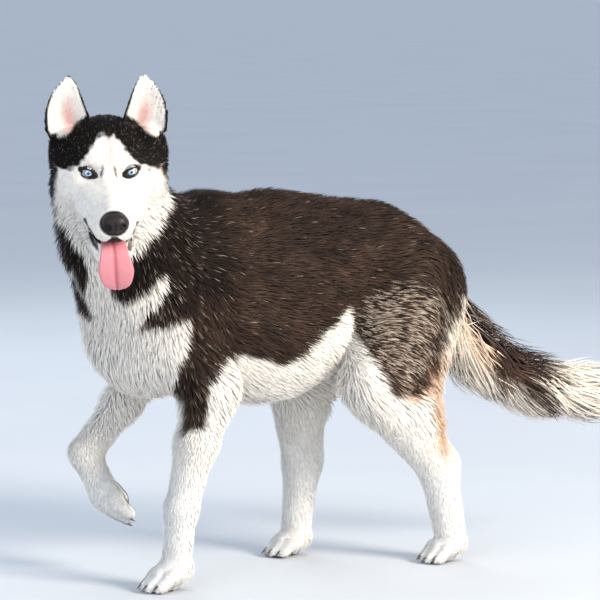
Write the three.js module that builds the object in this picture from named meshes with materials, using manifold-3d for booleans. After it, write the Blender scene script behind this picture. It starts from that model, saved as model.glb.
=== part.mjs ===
import * as THREE from 'three';
import Module from 'manifold-3d';

const wasm = await Module();
wasm.setup();

// All lengths are millimetres; +Z is up, the dog faces -X and its left side is -Y.
// The working origin is the floor under the withers; the whole is shifted at the end.
const V = (x, y, z) => new THREE.Vector3(x, y, z);
const DEG = Math.PI / 180;

// Driving dimensions
const withersHeight = 582;
const bellyHeight = 262;
const chestWidth = 214;
const partGap = 0.3;
const netSlack = 0.75;
const cutSlack = 0.07;
const foldGap = 0.02;
const soleTrim = 8;
const originShift = V(-209, 44, -8);

// Joints, as points of the skeleton under the coat
const neckBase = V(-62, 0, 455);
const neckTop = V(-192, -66, 566);
const foreLeft = {
  side: -1,
  shoulder: V(-108, -68, 428),
  elbow: V(-50, -86, 302),
  carpus: V(-96, -86, 128),
  ball: V(-106, -86, 42),
};
const foreRight = {
  side: 1,
  shoulder: V(-110, 66, 430),
  elbow: V(-55, 84, 332),
  carpus: V(-168, 86, 196),
  ball: V(-136, 86, 128),
};
const hindLeft = {
  side: -1,
  hip: V(320, -48, 440),
  knee: V(236, -82, 292),
  hock: V(350, -86, 152),
  ball: V(376, -84, 40),
};
const hindRight = {
  side: 1,
  hip: V(318, 48, 440),
  knee: V(186, 80, 322),
  hock: V(206, 85, 148),
  ball: V(196, 84, 40),
};
const tailLine = [
  [V(352, 0, 462), 40],
  [V(408, -8, 388), 50],
  [V(470, -28, 312), 52],
  [V(545, -64, 270), 48],
  [V(620, -100, 259), 42],
  [V(662, -118, 262), 33],
  [V(690, -130, 266), 8],
];

// Head frame: u to the dog's left, v up, w forward; origin midway between the eyes
const headOrigin = V(-240, -145, 632);
const headYaw = -112.5 * DEG;
const headPitch = 18 * DEG;
const headRoll = 1.2 * DEG;
const eyeSpacing = 61;
const eyeRadius = 11.5;
const eyeDepth = -10.5;

// Coat: how far the core of dense fur lies inside the tips, and the locks that stand on it
const ruffInset = 19;
const breechInset = 14;
const bellyInset = 9;
const cheekInset = 9;
const tailCoreShare = 0.58;
const lockRoot = 8;
const lockSpread = 0.16;
const locks = {
  ruff: { length: 88, width: 34, thick: 9, past: 3 },
  chest: { length: 84, width: 34, thick: 9, past: 3 },
  breech: { length: 74, width: 28, thick: 8, past: 3 },
  belly: { length: 66, width: 28, thick: 7, past: 4 },
  cheek: { length: 60, width: 22, thick: 5, past: 7 },
  tail: { length: 104, width: 36, thick: 10, past: 22 },
};

// Fields: the distance to a form's surface, negative inside
const dot = (a, b) => a.x * b.x + a.y * b.y + a.z * b.z;

function ball(centre, radii, yaw = 0, pitch = 0) {
  const turn = new THREE.Matrix4().makeRotationFromEuler(new THREE.Euler(0, pitch, yaw, 'ZYX')).invert();
  const q = V(0, 0, 0);
  const reach = Math.max(...radii);
  return {
    centre,
    reach,
    at(p) {
      q.copy(p).sub(centre).applyMatrix4(turn);
      const k0 = Math.hypot(q.x / radii[0], q.y / radii[1], q.z / radii[2]);
      const k1 = Math.hypot(q.x / radii[0] ** 2, q.y / radii[1] ** 2, q.z / radii[2] ** 2);
      return k1 < 1e-9 ? -Math.min(...radii) : (k0 * (k0 - 1)) / k1;
    },
  };
}

function limb(a, b, ra, rb, flat = 1) {
  const axis = b.clone().sub(a);
  const lengthSq = axis.lengthSq();
  const q = V(0, 0, 0);
  return {
    at(p) {
      q.copy(p).sub(a);
      const t = Math.min(1, Math.max(0, dot(q, axis) / lengthSq));
      q.addScaledVector(axis, -t);
      q.y /= flat;
      return q.length() - (ra + (rb - ra) * t);
    },
  };
}

function blend(a, b, k) {
  const h = Math.max(k - Math.abs(a - b), 0) / k;
  return Math.min(a, b) - h * h * k * 0.25;
}

function carve(a, b, k) {
  return -blend(-a, b, k);
}

function gather(forms, k) {
  return (p) => forms.reduce((d, f) => blend(d, f.at(p), f.k ?? k), 1e4);
}

function soft(form, k) {
  form.k = k;
  return form;
}

// Meshing: a net of quads drawn through the cells that the surface crosses
function surfaceNet(field, low, high, cell, slack = netSlack) {
  const n = ['x', 'y', 'z'].map((c) => Math.ceil((high[c] - low[c]) / cell) + 1);
  const index = (i, j, k) => i + n[0] * (j + n[1] * k);
  const value = new Float64Array(n[0] * n[1] * n[2]);
  const p = V(0, 0, 0);
  for (let k = 0; k < n[2]; k++)
    for (let j = 0; j < n[1]; j++)
      for (let i = 0; i < n[0]; i++) {
        p.set(low.x + i * cell, low.y + j * cell, low.z + k * cell);
        const edge = i === 0 || j === 0 || k === 0 || i === n[0] - 1 || j === n[1] - 1 || k === n[2] - 1;
        value[index(i, j, k)] = edge ? Math.max(field(p), 0.5) : field(p);
      }
  const vertexOf = new Int32Array(value.length).fill(-1);
  const points = [];
  const corners = [0, 1, 2, 3, 4, 5, 6, 7].map((c) => [c & 1, (c >> 1) & 1, (c >> 2) & 1]);
  const slope = V(0, 0, 0);
  const probe = V(0, 0, 0);
  const step = cell * 0.2;
  for (let k = 0; k < n[2] - 1; k++)
    for (let j = 0; j < n[1] - 1; j++)
      for (let i = 0; i < n[0] - 1; i++) {
        const sum = V(0, 0, 0);
        let crossings = 0;
        for (const a of corners)
          for (let axis = 0; axis < 3; axis++) {
            if (a[axis] === 1) continue;
            const b = a.slice();
            b[axis] = 1;
            const va = value[index(i + a[0], j + a[1], k + a[2])];
            const vb = value[index(i + b[0], j + b[1], k + b[2])];
            if (va < 0 === vb < 0) continue;
            const t = va / (va - vb);
            sum.x += a[0] + (b[0] - a[0]) * t;
            sum.y += a[1] + (b[1] - a[1]) * t;
            sum.z += a[2] + (b[2] - a[2]) * t;
            crossings++;
          }
        if (crossings === 0) continue;
        const v = sum.multiplyScalar(1 / crossings).add(V(i, j, k)).multiplyScalar(cell).add(low);
        for (let pass = 0; pass < 2; pass++) {
          const d = field(v);
          slope.set(
            field(probe.copy(v).setX(v.x + step)) - d,
            field(probe.copy(v).setY(v.y + step)) - d,
            field(probe.copy(v).setZ(v.z + step)) - d,
          ).divideScalar(step);
          const move = -d / Math.max(0.3, slope.lengthSq());
          v.addScaledVector(slope, Math.max(-0.3 * cell, Math.min(0.3 * cell, move)));
        }
        vertexOf[index(i, j, k)] = points.length / 3;
        points.push(v.x, v.y, v.z);
      }
  const faces = [];
  const quad = (a, b, c, d, flip) => {
    if (flip) faces.push(a, c, b, a, d, c);
    else faces.push(a, b, c, a, c, d);
  };
  const inside = (i, j, k) => value[index(i, j, k)] < 0;
  for (let k = 0; k < n[2] - 1; k++)
    for (let j = 0; j < n[1] - 1; j++)
      for (let i = 0; i < n[0] - 1; i++) {
        const here = inside(i, j, k);
        const v = (di, dj, dk) => vertexOf[index(i - di, j - dj, k - dk)];
        if (j * k > 0 && here !== inside(i + 1, j, k)) quad(v(0, 1, 1), v(0, 0, 1), v(0, 0, 0), v(0, 1, 0), !here);
        if (i * k > 0 && here !== inside(i, j + 1, k)) quad(v(1, 0, 1), v(1, 0, 0), v(0, 0, 0), v(0, 0, 1), !here);
        if (i * j > 0 && here !== inside(i, j, k + 1)) quad(v(1, 1, 0), v(0, 1, 0), v(0, 0, 0), v(1, 0, 0), !here);
      }
  return solidOf(...compact(...thin(points, faces, slack)));
}

function compact(points, faces) {
  const order = new Map();
  const kept = [];
  const renamed = faces.map((v) => {
    if (!order.has(v)) {
      order.set(v, kept.length / 3);
      kept.push(points[v * 3], points[v * 3 + 1], points[v * 3 + 2]);
    }
    return order.get(v);
  });
  return [kept, renamed];
}

// Thinning: edges are drawn together wherever the surface hardly moves
function thin(points, faces, slack, passes = 14) {
  const at = (v) => V(points[v * 3], points[v * 3 + 1], points[v * 3 + 2]);
  let current = faces;
  for (let pass = 0; pass < passes; pass++) {
    const place = [];
    for (let v = 0; v < points.length / 3; v++) place.push(at(v));
    const touching = place.map(() => []);
    const planes = [];
    for (let f = 0; f < current.length; f += 3) {
      const [a, b, c] = current.slice(f, f + 3);
      const n = place[b].clone().sub(place[a]).cross(place[c].clone().sub(place[a]));
      if (n.lengthSq() > 1e-12) n.normalize();
      planes.push({ n, d: dot(n, place[a]) });
      for (const v of [a, b, c]) touching[v].push(f / 3);
    }
    const near = (v) => new Set(touching[v].flatMap((f) => current.slice(f * 3, f * 3 + 3)).filter((w) => w !== v));
    const error = (v, w, p) => {
      const around = new Set([...touching[v], ...touching[w]]);
      let sum = 0;
      for (const f of around) sum += (dot(planes[f].n, p) - planes[f].d) ** 2;
      return Math.sqrt(sum / around.size);
    };
    const choices = [];
    for (let f = 0; f < current.length; f += 3)
      for (const [i, j] of [[0, 1], [1, 2], [2, 0]]) {
        const [a, b] = [current[f + i], current[f + j]];
        if (a > b) continue;
        for (const p of [place[a], place[b], place[a].clone().lerp(place[b], 0.5)]) {
          const cost = error(a, b, p);
          if (cost < slack) choices.push({ a, b, p, cost: cost + place[a].distanceTo(place[b]) * slack * 0.01 });
        }
      }
    choices.sort((x, y) => x.cost - y.cost);
    const locked = new Set();
    const into = new Map();
    for (const { a, b, p } of choices) {
      if (locked.has(a) || locked.has(b)) continue;
      const nearA = near(a);
      const nearB = near(b);
      const shared = [...nearA].filter((v) => nearB.has(v));
      if (shared.length !== 2) continue;
      if ([...nearA, ...nearB].some((v) => locked.has(v))) continue;
      let sound = true;
      for (const f of new Set([...touching[a], ...touching[b]])) {
        const t = current.slice(f * 3, f * 3 + 3);
        if (t.includes(a) && t.includes(b)) continue;
        const [x, y, z] = t.map((v) => (v === a || v === b ? p : place[v]));
        const n = y.clone().sub(x).cross(z.clone().sub(x));
        const long = Math.max(x.distanceTo(y), y.distanceTo(z), z.distanceTo(x));
        if (n.length() < 0.04 * long * long || dot(n, planes[f].n) < 0.4 * n.length()) sound = false;
      }
      if (!sound) continue;
      into.set(b, a);
      [points[a * 3], points[a * 3 + 1], points[a * 3 + 2]] = [p.x, p.y, p.z];
      for (const v of [a, b, ...nearA, ...nearB]) locked.add(v);
    }
    if (into.size === 0) break;
    const next = [];
    for (let f = 0; f < current.length; f += 3) {
      const t = current.slice(f, f + 3).map((v) => into.get(v) ?? v);
      if (new Set(t).size === 3) next.push(...t);
    }
    current = next;
  }
  return [points, current];
}

// Points of two folds that fall on one place are drawn apart, each into its own fold
function separate(points, faces) {
  const near = new Map();
  for (let f = 0; f < faces.length; f += 3)
    for (let k = 0; k < 3; k++) {
      const v = faces[f + k];
      if (!near.has(v)) near.set(v, new Set());
      near.get(v).add(faces[f + ((k + 1) % 3)]).add(faces[f + ((k + 2) % 3)]);
    }
  const at = (v) => V(points[v * 3], points[v * 3 + 1], points[v * 3 + 2]);
  const groups = new Map();
  for (const v of near.keys()) {
    const key = at(v).toArray().map((c) => Math.round(c / foldGap)).join();
    groups.set(key, [...(groups.get(key) ?? []), v]);
  }
  for (const group of groups.values()) {
    if (group.length < 2) continue;
    for (const v of group) {
      const middle = V(0, 0, 0);
      for (const w of near.get(v)) middle.add(at(w));
      const way = middle.divideScalar(near.get(v).size).sub(at(v)).normalize();
      const p = at(v).addScaledVector(way, 3 * foldGap);
      [points[v * 3], points[v * 3 + 1], points[v * 3 + 2]] = [p.x, p.y, p.z];
    }
  }
  return [points, faces];
}

// Solids and cuts
function solidOf(points, faces) {
  return new wasm.Manifold(new wasm.Mesh({
    numProp: 3,
    vertProperties: new Float32Array(points),
    triVerts: new Uint32Array(faces),
  }));
}

function solidFrom(geometry) {
  const flat = geometry.index ? geometry.toNonIndexed() : geometry;
  const source = flat.getAttribute('position');
  const seen = new Map();
  const points = [];
  const faces = [];
  for (let i = 0; i < source.count; i++) {
    const c = [source.getX(i), source.getY(i), source.getZ(i)];
    const key = c.map((t) => Math.round(t * 1e4)).join();
    if (!seen.has(key)) {
      seen.set(key, points.length / 3);
      points.push(...c);
    }
    faces.push(seen.get(key));
  }
  const kept = [];
  for (let i = 0; i < faces.length; i += 3) {
    const [a, b, c] = faces.slice(i, i + 3);
    if (a !== b && b !== c && c !== a) kept.push(a, b, c);
  }
  return solidOf(points, kept);
}

const farSize = 1600;

function halfSpace(point, normal) {
  const n = normal.clone().normalize();
  const box = new THREE.BoxGeometry(farSize, farSize, farSize);
  box.translate(0, 0, farSize / 2);
  box.applyQuaternion(new THREE.Quaternion().setFromUnitVectors(V(0, 0, 1), n));
  box.translate(point.x, point.y, point.z);
  return solidFrom(box);
}

function block(low, high) {
  const box = new THREE.BoxGeometry(high.x - low.x, high.y - low.y, high.z - low.z);
  box.translate((low.x + high.x) / 2, (low.y + high.y) / 2, (low.z + high.z) / 2);
  return solidFrom(box);
}

function largest(solid) {
  const parts = solid.decompose();
  return parts.reduce((a, b) => (b.volume() > a.volume() ? b : a));
}

// The head's frame in the body's frame
const headTurn = new THREE.Matrix4().multiplyMatrices(
  new THREE.Matrix4().makeRotationZ(headYaw),
  new THREE.Matrix4().multiplyMatrices(
    new THREE.Matrix4().makeRotationY(headPitch),
    new THREE.Matrix4().makeRotationX(headRoll),
  ),
);
const headAxes = new THREE.Matrix4().makeBasis(V(0, 1, 0), V(0, 0, 1), V(1, 0, 0));
const headToBody = new THREE.Matrix4().multiplyMatrices(
  new THREE.Matrix4().makeTranslation(headOrigin.x, headOrigin.y, headOrigin.z),
  new THREE.Matrix4().multiplyMatrices(headTurn, headAxes),
);
const bodyToHead = headToBody.clone().invert();
const headPoint = (u, v, w) => V(u, v, w).applyMatrix4(headToBody);
const headWay = (u, v, w) => V(u, v, w).transformDirection(headToBody);

// Trunk
const trunkForms = [
  ball(V(80, 0, 420), [182, chestWidth / 2, (withersHeight - bellyHeight) / 2]),
  soft(ball(V(0, 0, withersHeight - 92), [88, 70, 92]), 50),
  soft(ball(V(-105, 0, 405), [90, 90, 118]), 60),
  soft(limb(V(110, 0, 482), V(272, 0, 468), 100, 92), 40),
  soft(ball(V(296, 0, 440), [90, 86, 104]), 36),
];

function foreShoulder(leg) {
  const scapula = V(-8, 34 * leg.side, 540);
  return [
    soft(limb(scapula, leg.shoulder, 44, 52), 45),
    soft(limb(leg.shoulder, leg.elbow, 52, 42), 40),
  ];
}

function foreArm(leg) {
  const point = leg.elbow.clone().add(V(22, 0, 14));
  const mid = leg.elbow.clone().lerp(leg.carpus, 0.45);
  return [
    limb(leg.elbow, mid, 41, 31),
    soft(limb(mid, leg.carpus, 31, 25), 20),
    soft(limb(point, mid, 22, 16), 25),
    soft(limb(leg.carpus, leg.ball, 25, 23), 14),
  ];
}

function hindThigh(leg) {
  const back = leg.hip.clone().add(V(28, 4 * leg.side, -20));
  const backLow = leg.knee.clone().lerp(leg.hock, 0.42).add(V(30, 0, 22));
  return [
    soft(limb(leg.hip, leg.knee, 80, 52), 45),
    soft(limb(back, backLow, 66, 40), 45),
  ];
}

function hindShank(leg) {
  const calf = leg.knee.clone().lerp(leg.hock, 0.5).add(V(14, 0, 10));
  const heel = leg.hock.clone().add(V(12, 0, 14));
  return [
    limb(leg.knee, leg.hock, 45, 27),
    soft(limb(calf, heel, 34, 19), 30),
    soft(limb(heel, leg.ball.clone().add(V(4, 0, 22)), 18, 16), 20),
    soft(limb(leg.hock, leg.ball, 28, 24), 16),
  ];
}

const neckForms = [
  soft(limb(neckBase, neckTop, 108, 84), 50),
  soft(limb(V(-105, -4, 400), V(-200, -76, 520), 88, 72), 60),
];

const shoulderForms = [...foreShoulder(foreLeft), ...foreShoulder(foreRight)];
const thighForms = [...hindThigh(hindLeft), ...hindThigh(hindRight)];

const bodyField = gather([...trunkForms, ...shoulderForms, ...thighForms, ...neckForms], 40);

const ramp = (t) => {
  const c = Math.min(1, Math.max(0, t));
  return c * c * (3 - 2 * c);
};

function coreInset(p) {
  const ruff = ramp((-p.x - 5) / 110) * ramp((p.z - 315) / 60);
  const breech = ramp((p.x - 305) / 50) * ramp((p.z - 225) / 60) * ramp((470 - p.z) / 60);
  const belly = ramp((330 - p.z) / 40) * ramp((p.x + 30) / 60) * ramp((60 - Math.abs(p.y)) / 40);
  return Math.max(ruffInset * ruff, breechInset * breech, bellyInset * belly);
}

const coreField = (p) => bodyField(p) + coreInset(p);

function withLimb(forms) {
  const own = gather(forms, 25);
  return (p) => blend(bodyField(p), own(p), 34) + coreInset(p);
}

// Paws: a body, four toes and the pads under them
function pawField(leg, forward, lift, size) {
  const side = V(0, 1, 0);
  const down = V(0, 0, -1);
  const base = leg.ball;
  const turn = new THREE.Quaternion().setFromAxisAngle(side, lift);
  const way = forward.clone().applyQuaternion(turn);
  const under = down.clone().applyQuaternion(turn);
  const place = (a, b, c) => base.clone().addScaledVector(way, a * size).addScaledVector(side, b * size)
    .addScaledVector(under, c * size);
  const forms = [limb(place(-4, 0, 4), place(14, 0, 14), 24 * size, 24 * size)];
  for (const [across, ahead] of [[-21, 26], [-8, 36], [8, 36], [21, 26]]) {
    const root = place(4, across * 0.75, 10);
    const knuckle = place(ahead - 8, across, 12);
    const tip = place(ahead + 8, across * 1.04, 25);
    forms.push(soft(limb(root, knuckle, 13 * size, 12.5 * size), 7));
    forms.push(soft(limb(knuckle, tip, 12.5 * size, 10.5 * size), 5));
  }
  return gather(forms, 10);
}

// Tail
const tailForms = [];
for (let i = 0; i + 1 < tailLine.length; i++)
  tailForms.push(soft(limb(tailLine[i][0], tailLine[i + 1][0], tailLine[i][1], tailLine[i + 1][1]), 16));
const tailField = gather(tailForms, 16);

function tailHalf(p) {
  let near = 1e9;
  let half = 0;
  for (let i = 0; i + 1 < tailLine.length; i++) {
    const [a, ra] = tailLine[i];
    const [b, rb] = tailLine[i + 1];
    const axis = b.clone().sub(a);
    const t = Math.min(1, Math.max(0, dot(p.clone().sub(a), axis) / axis.lengthSq()));
    const d = p.distanceTo(a.clone().addScaledVector(axis, t));
    if (d < near) [near, half] = [d, ra + (rb - ra) * t];
  }
  return half;
}

// Head
function pair(make) {
  return [make(-1), make(1)];
}

const skull = [
  ball(V(0, 6, -62), [62, 54, 66]),
  ...pair((s) => soft(ball(V(26 * s, 19, -26), [24, 16, 22]), 18)),
  ...pair((s) => soft(ball(V(44 * s, -20, -44), [32, 38, 42]), 24)),
  ...pair((s) => soft(ball(V(48 * s, -46, -68), [32 - cheekInset, 42 - cheekInset, 38 - cheekInset]), 24)),
  ...pair((s) => soft(ball(V(60 * s, 12, -74), [22, 34, 30]), 22)),
  soft(limb(V(0, -24, -14), V(0, -39, 82), 19, 14), 18),
  ...pair((s) => soft(limb(V(21 * s, -43, 10), V(12 * s, -55, 76), 26, 18), 18)),
  soft(limb(V(0, -70, -50), V(0, -60, -100), 56, 60), 30),
];
const jaw = [
  limb(V(0, -84, -10), V(0, -104, 58), 26, 14),
  ...pair((s) => soft(limb(V(26 * s, -66, -30), V(9 * s, -102, 50), 24, 13), 20)),
];
const upperField = gather(skull, 24);
const jawField = gather(jaw, 16);
const mouthForm = ball(V(0, -80, 50), [27, 7.5, 52], 0, 0);
const socketForms = pair((s) => ball(V(32 * s, -1, 15), [19, 12, 17]));
const headLocal = (p) => {
  const whole = blend(upperField(p), jawField(p), 14);
  const sockets = Math.min(...socketForms.map((f) => f.at(p)));
  return carve(carve(whole, mouthForm.at(p), 4), sockets, 9);
};
const localPoint = V(0, 0, 0);
const headField = (p) => {
  localPoint.copy(p).applyMatrix4(bodyToHead);
  return blend(headLocal(localPoint), coreField(p), 40);
};

// Rings cast outward from a centre line to the field's surface
function ringCast(field, line, around, spacing, widest) {
  const curve = new THREE.CatmullRomCurve3(line, false, 'centripetal');
  const count = Math.max(3, Math.round(curve.getLength() / spacing));
  const points = [];
  const faces = [];
  const side = V(0, 1, 0);
  const p = V(0, 0, 0);
  for (let i = 0; i <= count; i++) {
    const centre = curve.getPointAt(i / count);
    const along = curve.getTangentAt(i / count);
    const across = side.clone().cross(along).normalize();
    const over = along.clone().cross(across).normalize();
    for (let j = 0; j < around; j++) {
      const a = (j / around) * 2 * Math.PI;
      const way = across.clone().multiplyScalar(Math.cos(a)).addScaledVector(over, Math.sin(a));
      let r = 2;
      for (let pass = 0; pass < 60 && r < widest; pass++) {
        const d = field(p.copy(centre).addScaledVector(way, r));
        if (d > -0.05) break;
        r += Math.max(0.2, -d * 0.8);
      }
      p.copy(centre).addScaledVector(way, Math.min(r, widest));
      points.push(p.x, p.y, p.z);
    }
  }
  for (let i = 0; i < count; i++)
    for (let j = 0; j < around; j++) {
      const a = i * around + j;
      const b = i * around + ((j + 1) % around);
      faces.push(a, b, b + around, a, b + around, a + around);
    }
  for (const [end, turn] of [[0, true], [count, false]]) {
    const hub = points.length / 3;
    const centre = curve.getPointAt(end / count);
    points.push(centre.x, centre.y, centre.z);
    for (let j = 0; j < around; j++) {
      const a = end * around + j;
      const b = end * around + ((j + 1) % around);
      if (turn) faces.push(hub, b, a);
      else faces.push(hub, a, b);
    }
  }
  return outward(points, faces);
}

function outward(points, faces) {
  let six = 0;
  for (let i = 0; i < faces.length; i += 3) {
    const [a, b, c] = [0, 1, 2].map((k) => V(...points.slice(faces[i + k] * 3, faces[i + k] * 3 + 3)));
    six += dot(a, b.cross(c));
  }
  if (six < 0) for (let i = 0; i < faces.length; i += 3) [faces[i], faces[i + 1]] = [faces[i + 1], faces[i]];
  return solidOf(points, faces);
}

// A closed skin over rings of equal count, each ring an array of points
function loft(rings) {
  const around = rings[0].length;
  const points = rings.flat().flatMap((p) => [p.x, p.y, p.z]);
  const faces = [];
  for (let i = 0; i + 1 < rings.length; i++)
    for (let j = 0; j < around; j++) {
      const a = i * around + j;
      const b = i * around + ((j + 1) % around);
      faces.push(a, b, b + around, a, b + around, a + around);
    }
  const top = (rings.length - 1) * around;
  for (let j = 1; j + 1 < around; j++) {
    faces.push(0, j + 1, j);
    faces.push(top, top + j, top + j + 1);
  }
  return outward(points, faces);
}

// Where the nodes part
const neckPlane = { point: V(-172, -64, 566), normal: V(-0.718, -0.383, 0.585) };
const chestPlane = { point: V(-84, -8, 490), normal: V(-0.70, -0.25, 0.66) };
const legPlane = {
  foreleg_left: { point: V(-60, -40, 262), normal: V(0, -0.6, -0.8) },
  foreleg_right: { point: V(-60, 40, 262), normal: V(0, 0.6, -0.8) },
  hindleg_left: { point: V(300, -15, 335), normal: V(0.5, -0.4, -0.75) },
  hindleg_right: { point: V(280, 30, 330), normal: V(0.38, 0.62, -0.68) },
};

function above(plane, offset = partGap / 2) {
  const n = plane.normal.clone().normalize();
  return halfSpace(plane.point.clone().addScaledVector(n, offset), n);
}

function below(plane, offset = partGap / 2) {
  const n = plane.normal.clone().normalize();
  return halfSpace(plane.point.clone().addScaledVector(n, -offset), n.negate());
}

// Small features of the head, in its own frame
function toBody(solid) {
  return solid.transform(headToBody.elements);
}

const earBase = V(52, 44, -62);
const earTip = V(52, 117, -70);
const earWidth = 29;
const earThick = 6;
const earCup = 11;

function earSolid(s) {
  const rings = [];
  const acrossBase = V(0.857 * s, -0.514, 0);
  const acrossTip = V(s, -0.1, 0);
  const back = V(0, -0.12, -1).normalize();
  for (const t of [-0.3, 0, 0.22, 0.45, 0.68, 0.86, 1]) {
    const axis = V(
      (earBase.x + (earTip.x - earBase.x) * t + 5 * Math.sin(Math.PI * Math.max(t, 0))) * s,
      earBase.y + (earTip.y - earBase.y) * t,
      earBase.z + (earTip.z - earBase.z) * t,
    );
    const across = acrossBase.clone().lerp(acrossTip, Math.max(t, 0)).normalize();
    const half = t < 0 ? earWidth : Math.max(2.2, earWidth * (1 - t ** 1.6) ** 0.85);
    const cup = earCup * Math.max(0.08, 1 - Math.max(t, 0));
    const thick = earThick * (t > 0.9 ? 0.6 : 1);
    const ring = [];
    for (const u of [-1, -0.55, 0, 0.55, 1])
      ring.push(axis.clone().addScaledVector(across, half * u).addScaledVector(back, cup * (1 - u * u)));
    for (const u of [0.82, 0.45, 0, -0.45, -0.82])
      ring.push(axis.clone().addScaledVector(across, half * u)
        .addScaledVector(back, cup * (1 - u * u) * 0.95 - thick * (1 - u * u * 0.3)));
    rings.push(ring);
  }
  return loft(rings);
}

function sphereAt(centre, radius) {
  const g = new THREE.SphereGeometry(radius, 12, 7);
  g.rotateX(Math.PI / 2);
  g.translate(centre.x, centre.y, centre.z);
  return solidFrom(g);
}

function noseSolid(grow) {
  const g = new THREE.SphereGeometry(1, 14, 8);
  g.scale(19 + grow, 15.5 + grow, 15 + grow);
  g.translate(0, -43, 87);
  return solidFrom(g);
}

const tongueLine = [
  [V(0, -82, 22), 15, 5],
  [V(0, -81, 50), 17, 4.5],
  [V(0, -84, 72), 18, 4],
  [V(1, -94, 84), 21, 4],
  [V(2, -113, 88), 25, 4],
  [V(3, -130, 85), 23, 3.6],
  [V(4, -141, 79), 15, 3],
  [V(4, -144, 76), 7, 1.6],
];

function tongueSolid(grow) {
  const rings = [];
  for (let i = 0; i < tongueLine.length; i++) {
    const [c, half, thick] = tongueLine[i];
    const before = tongueLine[Math.max(0, i - 1)][0];
    const after = tongueLine[Math.min(tongueLine.length - 1, i + 1)][0];
    const along = after.clone().sub(before).normalize();
    const out = V(1, 0, 0).cross(along).normalize();
    const ring = [];
    for (let j = 0; j < 10; j++) {
      const a = (j / 10) * 2 * Math.PI;
      const groove = Math.abs(Math.cos(a)) < 0.2 ? 0.72 : 1;
      const end = i === 0 ? -grow : i === tongueLine.length - 1 ? grow : 0;
      ring.push(c.clone().addScaledVector(along, end)
        .addScaledVector(V(1, 0, 0), Math.cos(a) * (half + grow))
        .addScaledVector(out, Math.sin(a) * (thick * groove + grow)));
    }
    rings.push(ring);
  }
  return loft(rings);
}

// A cord of varying half-width and half-height laid through points of the head's frame
function cord(line, sizes, facing, around = 6) {
  const curve = new THREE.CatmullRomCurve3(line);
  const count = sizes.length - 1;
  const rings = [];
  for (let i = 0; i <= count; i++) {
    const c = curve.getPoint(i / count);
    const along = curve.getTangent(i / count);
    const out = facing.clone().addScaledVector(along, -dot(facing, along)).normalize();
    const over = along.clone().cross(out);
    const ring = [];
    for (let j = 0; j < around; j++) {
      const a = (j / around) * 2 * Math.PI;
      ring.push(c.clone().addScaledVector(over, Math.cos(a) * sizes[i][0])
        .addScaledVector(out, Math.sin(a) * sizes[i][1]));
    }
    rings.push(ring);
  }
  return loft(rings);
}

const lidSizes = [[1, 1.2], [2.4, 2.2], [3, 2.6], [3, 2.6], [2.4, 2.2], [1, 1.2]];

function lidSolids(s) {
  const x = eyeSpacing / 2;
  const inner = V((x - 13) * s, -5.5, 0.5);
  const outer = V((x + 14) * s, 6, -8);
  const upper = [inner, V((x - 5) * s, 3.6, 1.6), V((x + 4) * s, 7, -1), outer];
  const lower = [inner, V((x - 5) * s, -7, 1.2), V((x + 5) * s, -3.6, -1.4), outer];
  return [upper, lower].map((line) => cord(line, lidSizes, V(0.25 * s, 0, 1).normalize()));
}

const lipSizes = [[1.4, 1.6], [2.6, 2.6], [3.2, 3], [3.2, 3], [3, 2.8], [2.6, 2.4], [2, 1.8]];

function lipSolids(s) {
  const corner = V(37 * s, -66, 4);
  const upper = [corner, V(30 * s, -71, 30), V(20 * s, -73, 60), V(7 * s, -69, 84), V(1.5 * s, -64, 92)];
  const lower = [corner, V(30 * s, -82, 22), V(22 * s, -93, 46), V(12 * s, -99, 62), V(1.5 * s, -100, 68)];
  return [upper, lower].map((line) => cord(line, lipSizes, V(s, -0.2, 0.6).normalize()));
}

// Locks: flat tapered blades that root in the core, follow its surface and rise to the tips
function seeded(seed) {
  let state = seed;
  return () => {
    state = (Math.imul(state, 1664525) + 1013904223) >>> 0;
    return state / 4294967296;
  };
}

const chance = seeded(11);
const vary = (share) => 1 + (chance() * 2 - 1) * share;

function slopeAt(field, p) {
  const step = 2;
  const q = V(0, 0, 0);
  const d = field(p);
  return V(
    field(q.copy(p).setX(p.x + step)) - d,
    field(q.copy(p).setY(p.y + step)) - d,
    field(q.copy(p).setZ(p.z + step)) - d,
  ).normalize();
}

function castOut(field, from, way, widest) {
  const p = V(0, 0, 0);
  let r = 2;
  while (r < widest) {
    const d = field(p.copy(from).addScaledVector(way, r));
    if (d > -0.05) return p.clone();
    r += Math.max(0.3, -d * 0.8);
  }
  return null;
}

function lockAt(field, root, lie, kind) {
  const { length, width, thick, past } = locks[kind];
  const standsAlone = kind === 'cheek' || kind === 'tail';
  const long = length * vary(lockSpread);
  const wide = width * vary(lockSpread);
  const turn = (chance() * 2 - 1) * lockSpread;
  const p = root.clone();
  const rings = [];
  let way = lie.clone();
  const stages = [[0, 0.7, 1], [0.42, 1, 1], [0.86, 0.78, 0.8], [1, 0, 0]];
  stages.forEach(([rise, share, body], i) => {
    const height = i === 0 ? -lockRoot : rise * (past + (standsAlone ? 0 : coreInset(p)));
    const out = slopeAt(field, p);
    way.addScaledVector(out, -dot(way, out)).normalize();
    const across = out.clone().cross(way).normalize();
    way.addScaledVector(across, i === 0 ? turn : 0).normalize();
    const c = p.clone().addScaledVector(out, height);
    if (share === 0) rings.push([c]);
    else
      rings.push([
        c.clone().addScaledVector(across, (wide * share) / 2),
        c.clone().addScaledVector(out, (thick * body) / 2),
        c.clone().addScaledVector(across, (-wide * share) / 2),
        c.clone().addScaledVector(out, (-thick * body) / 2),
      ]);
    p.addScaledVector(way, long * (i === 0 ? 0.26 : 0.37));
    p.addScaledVector(slopeAt(field, p), -field(p));
  });
  return bladeOf(rings);
}

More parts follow.
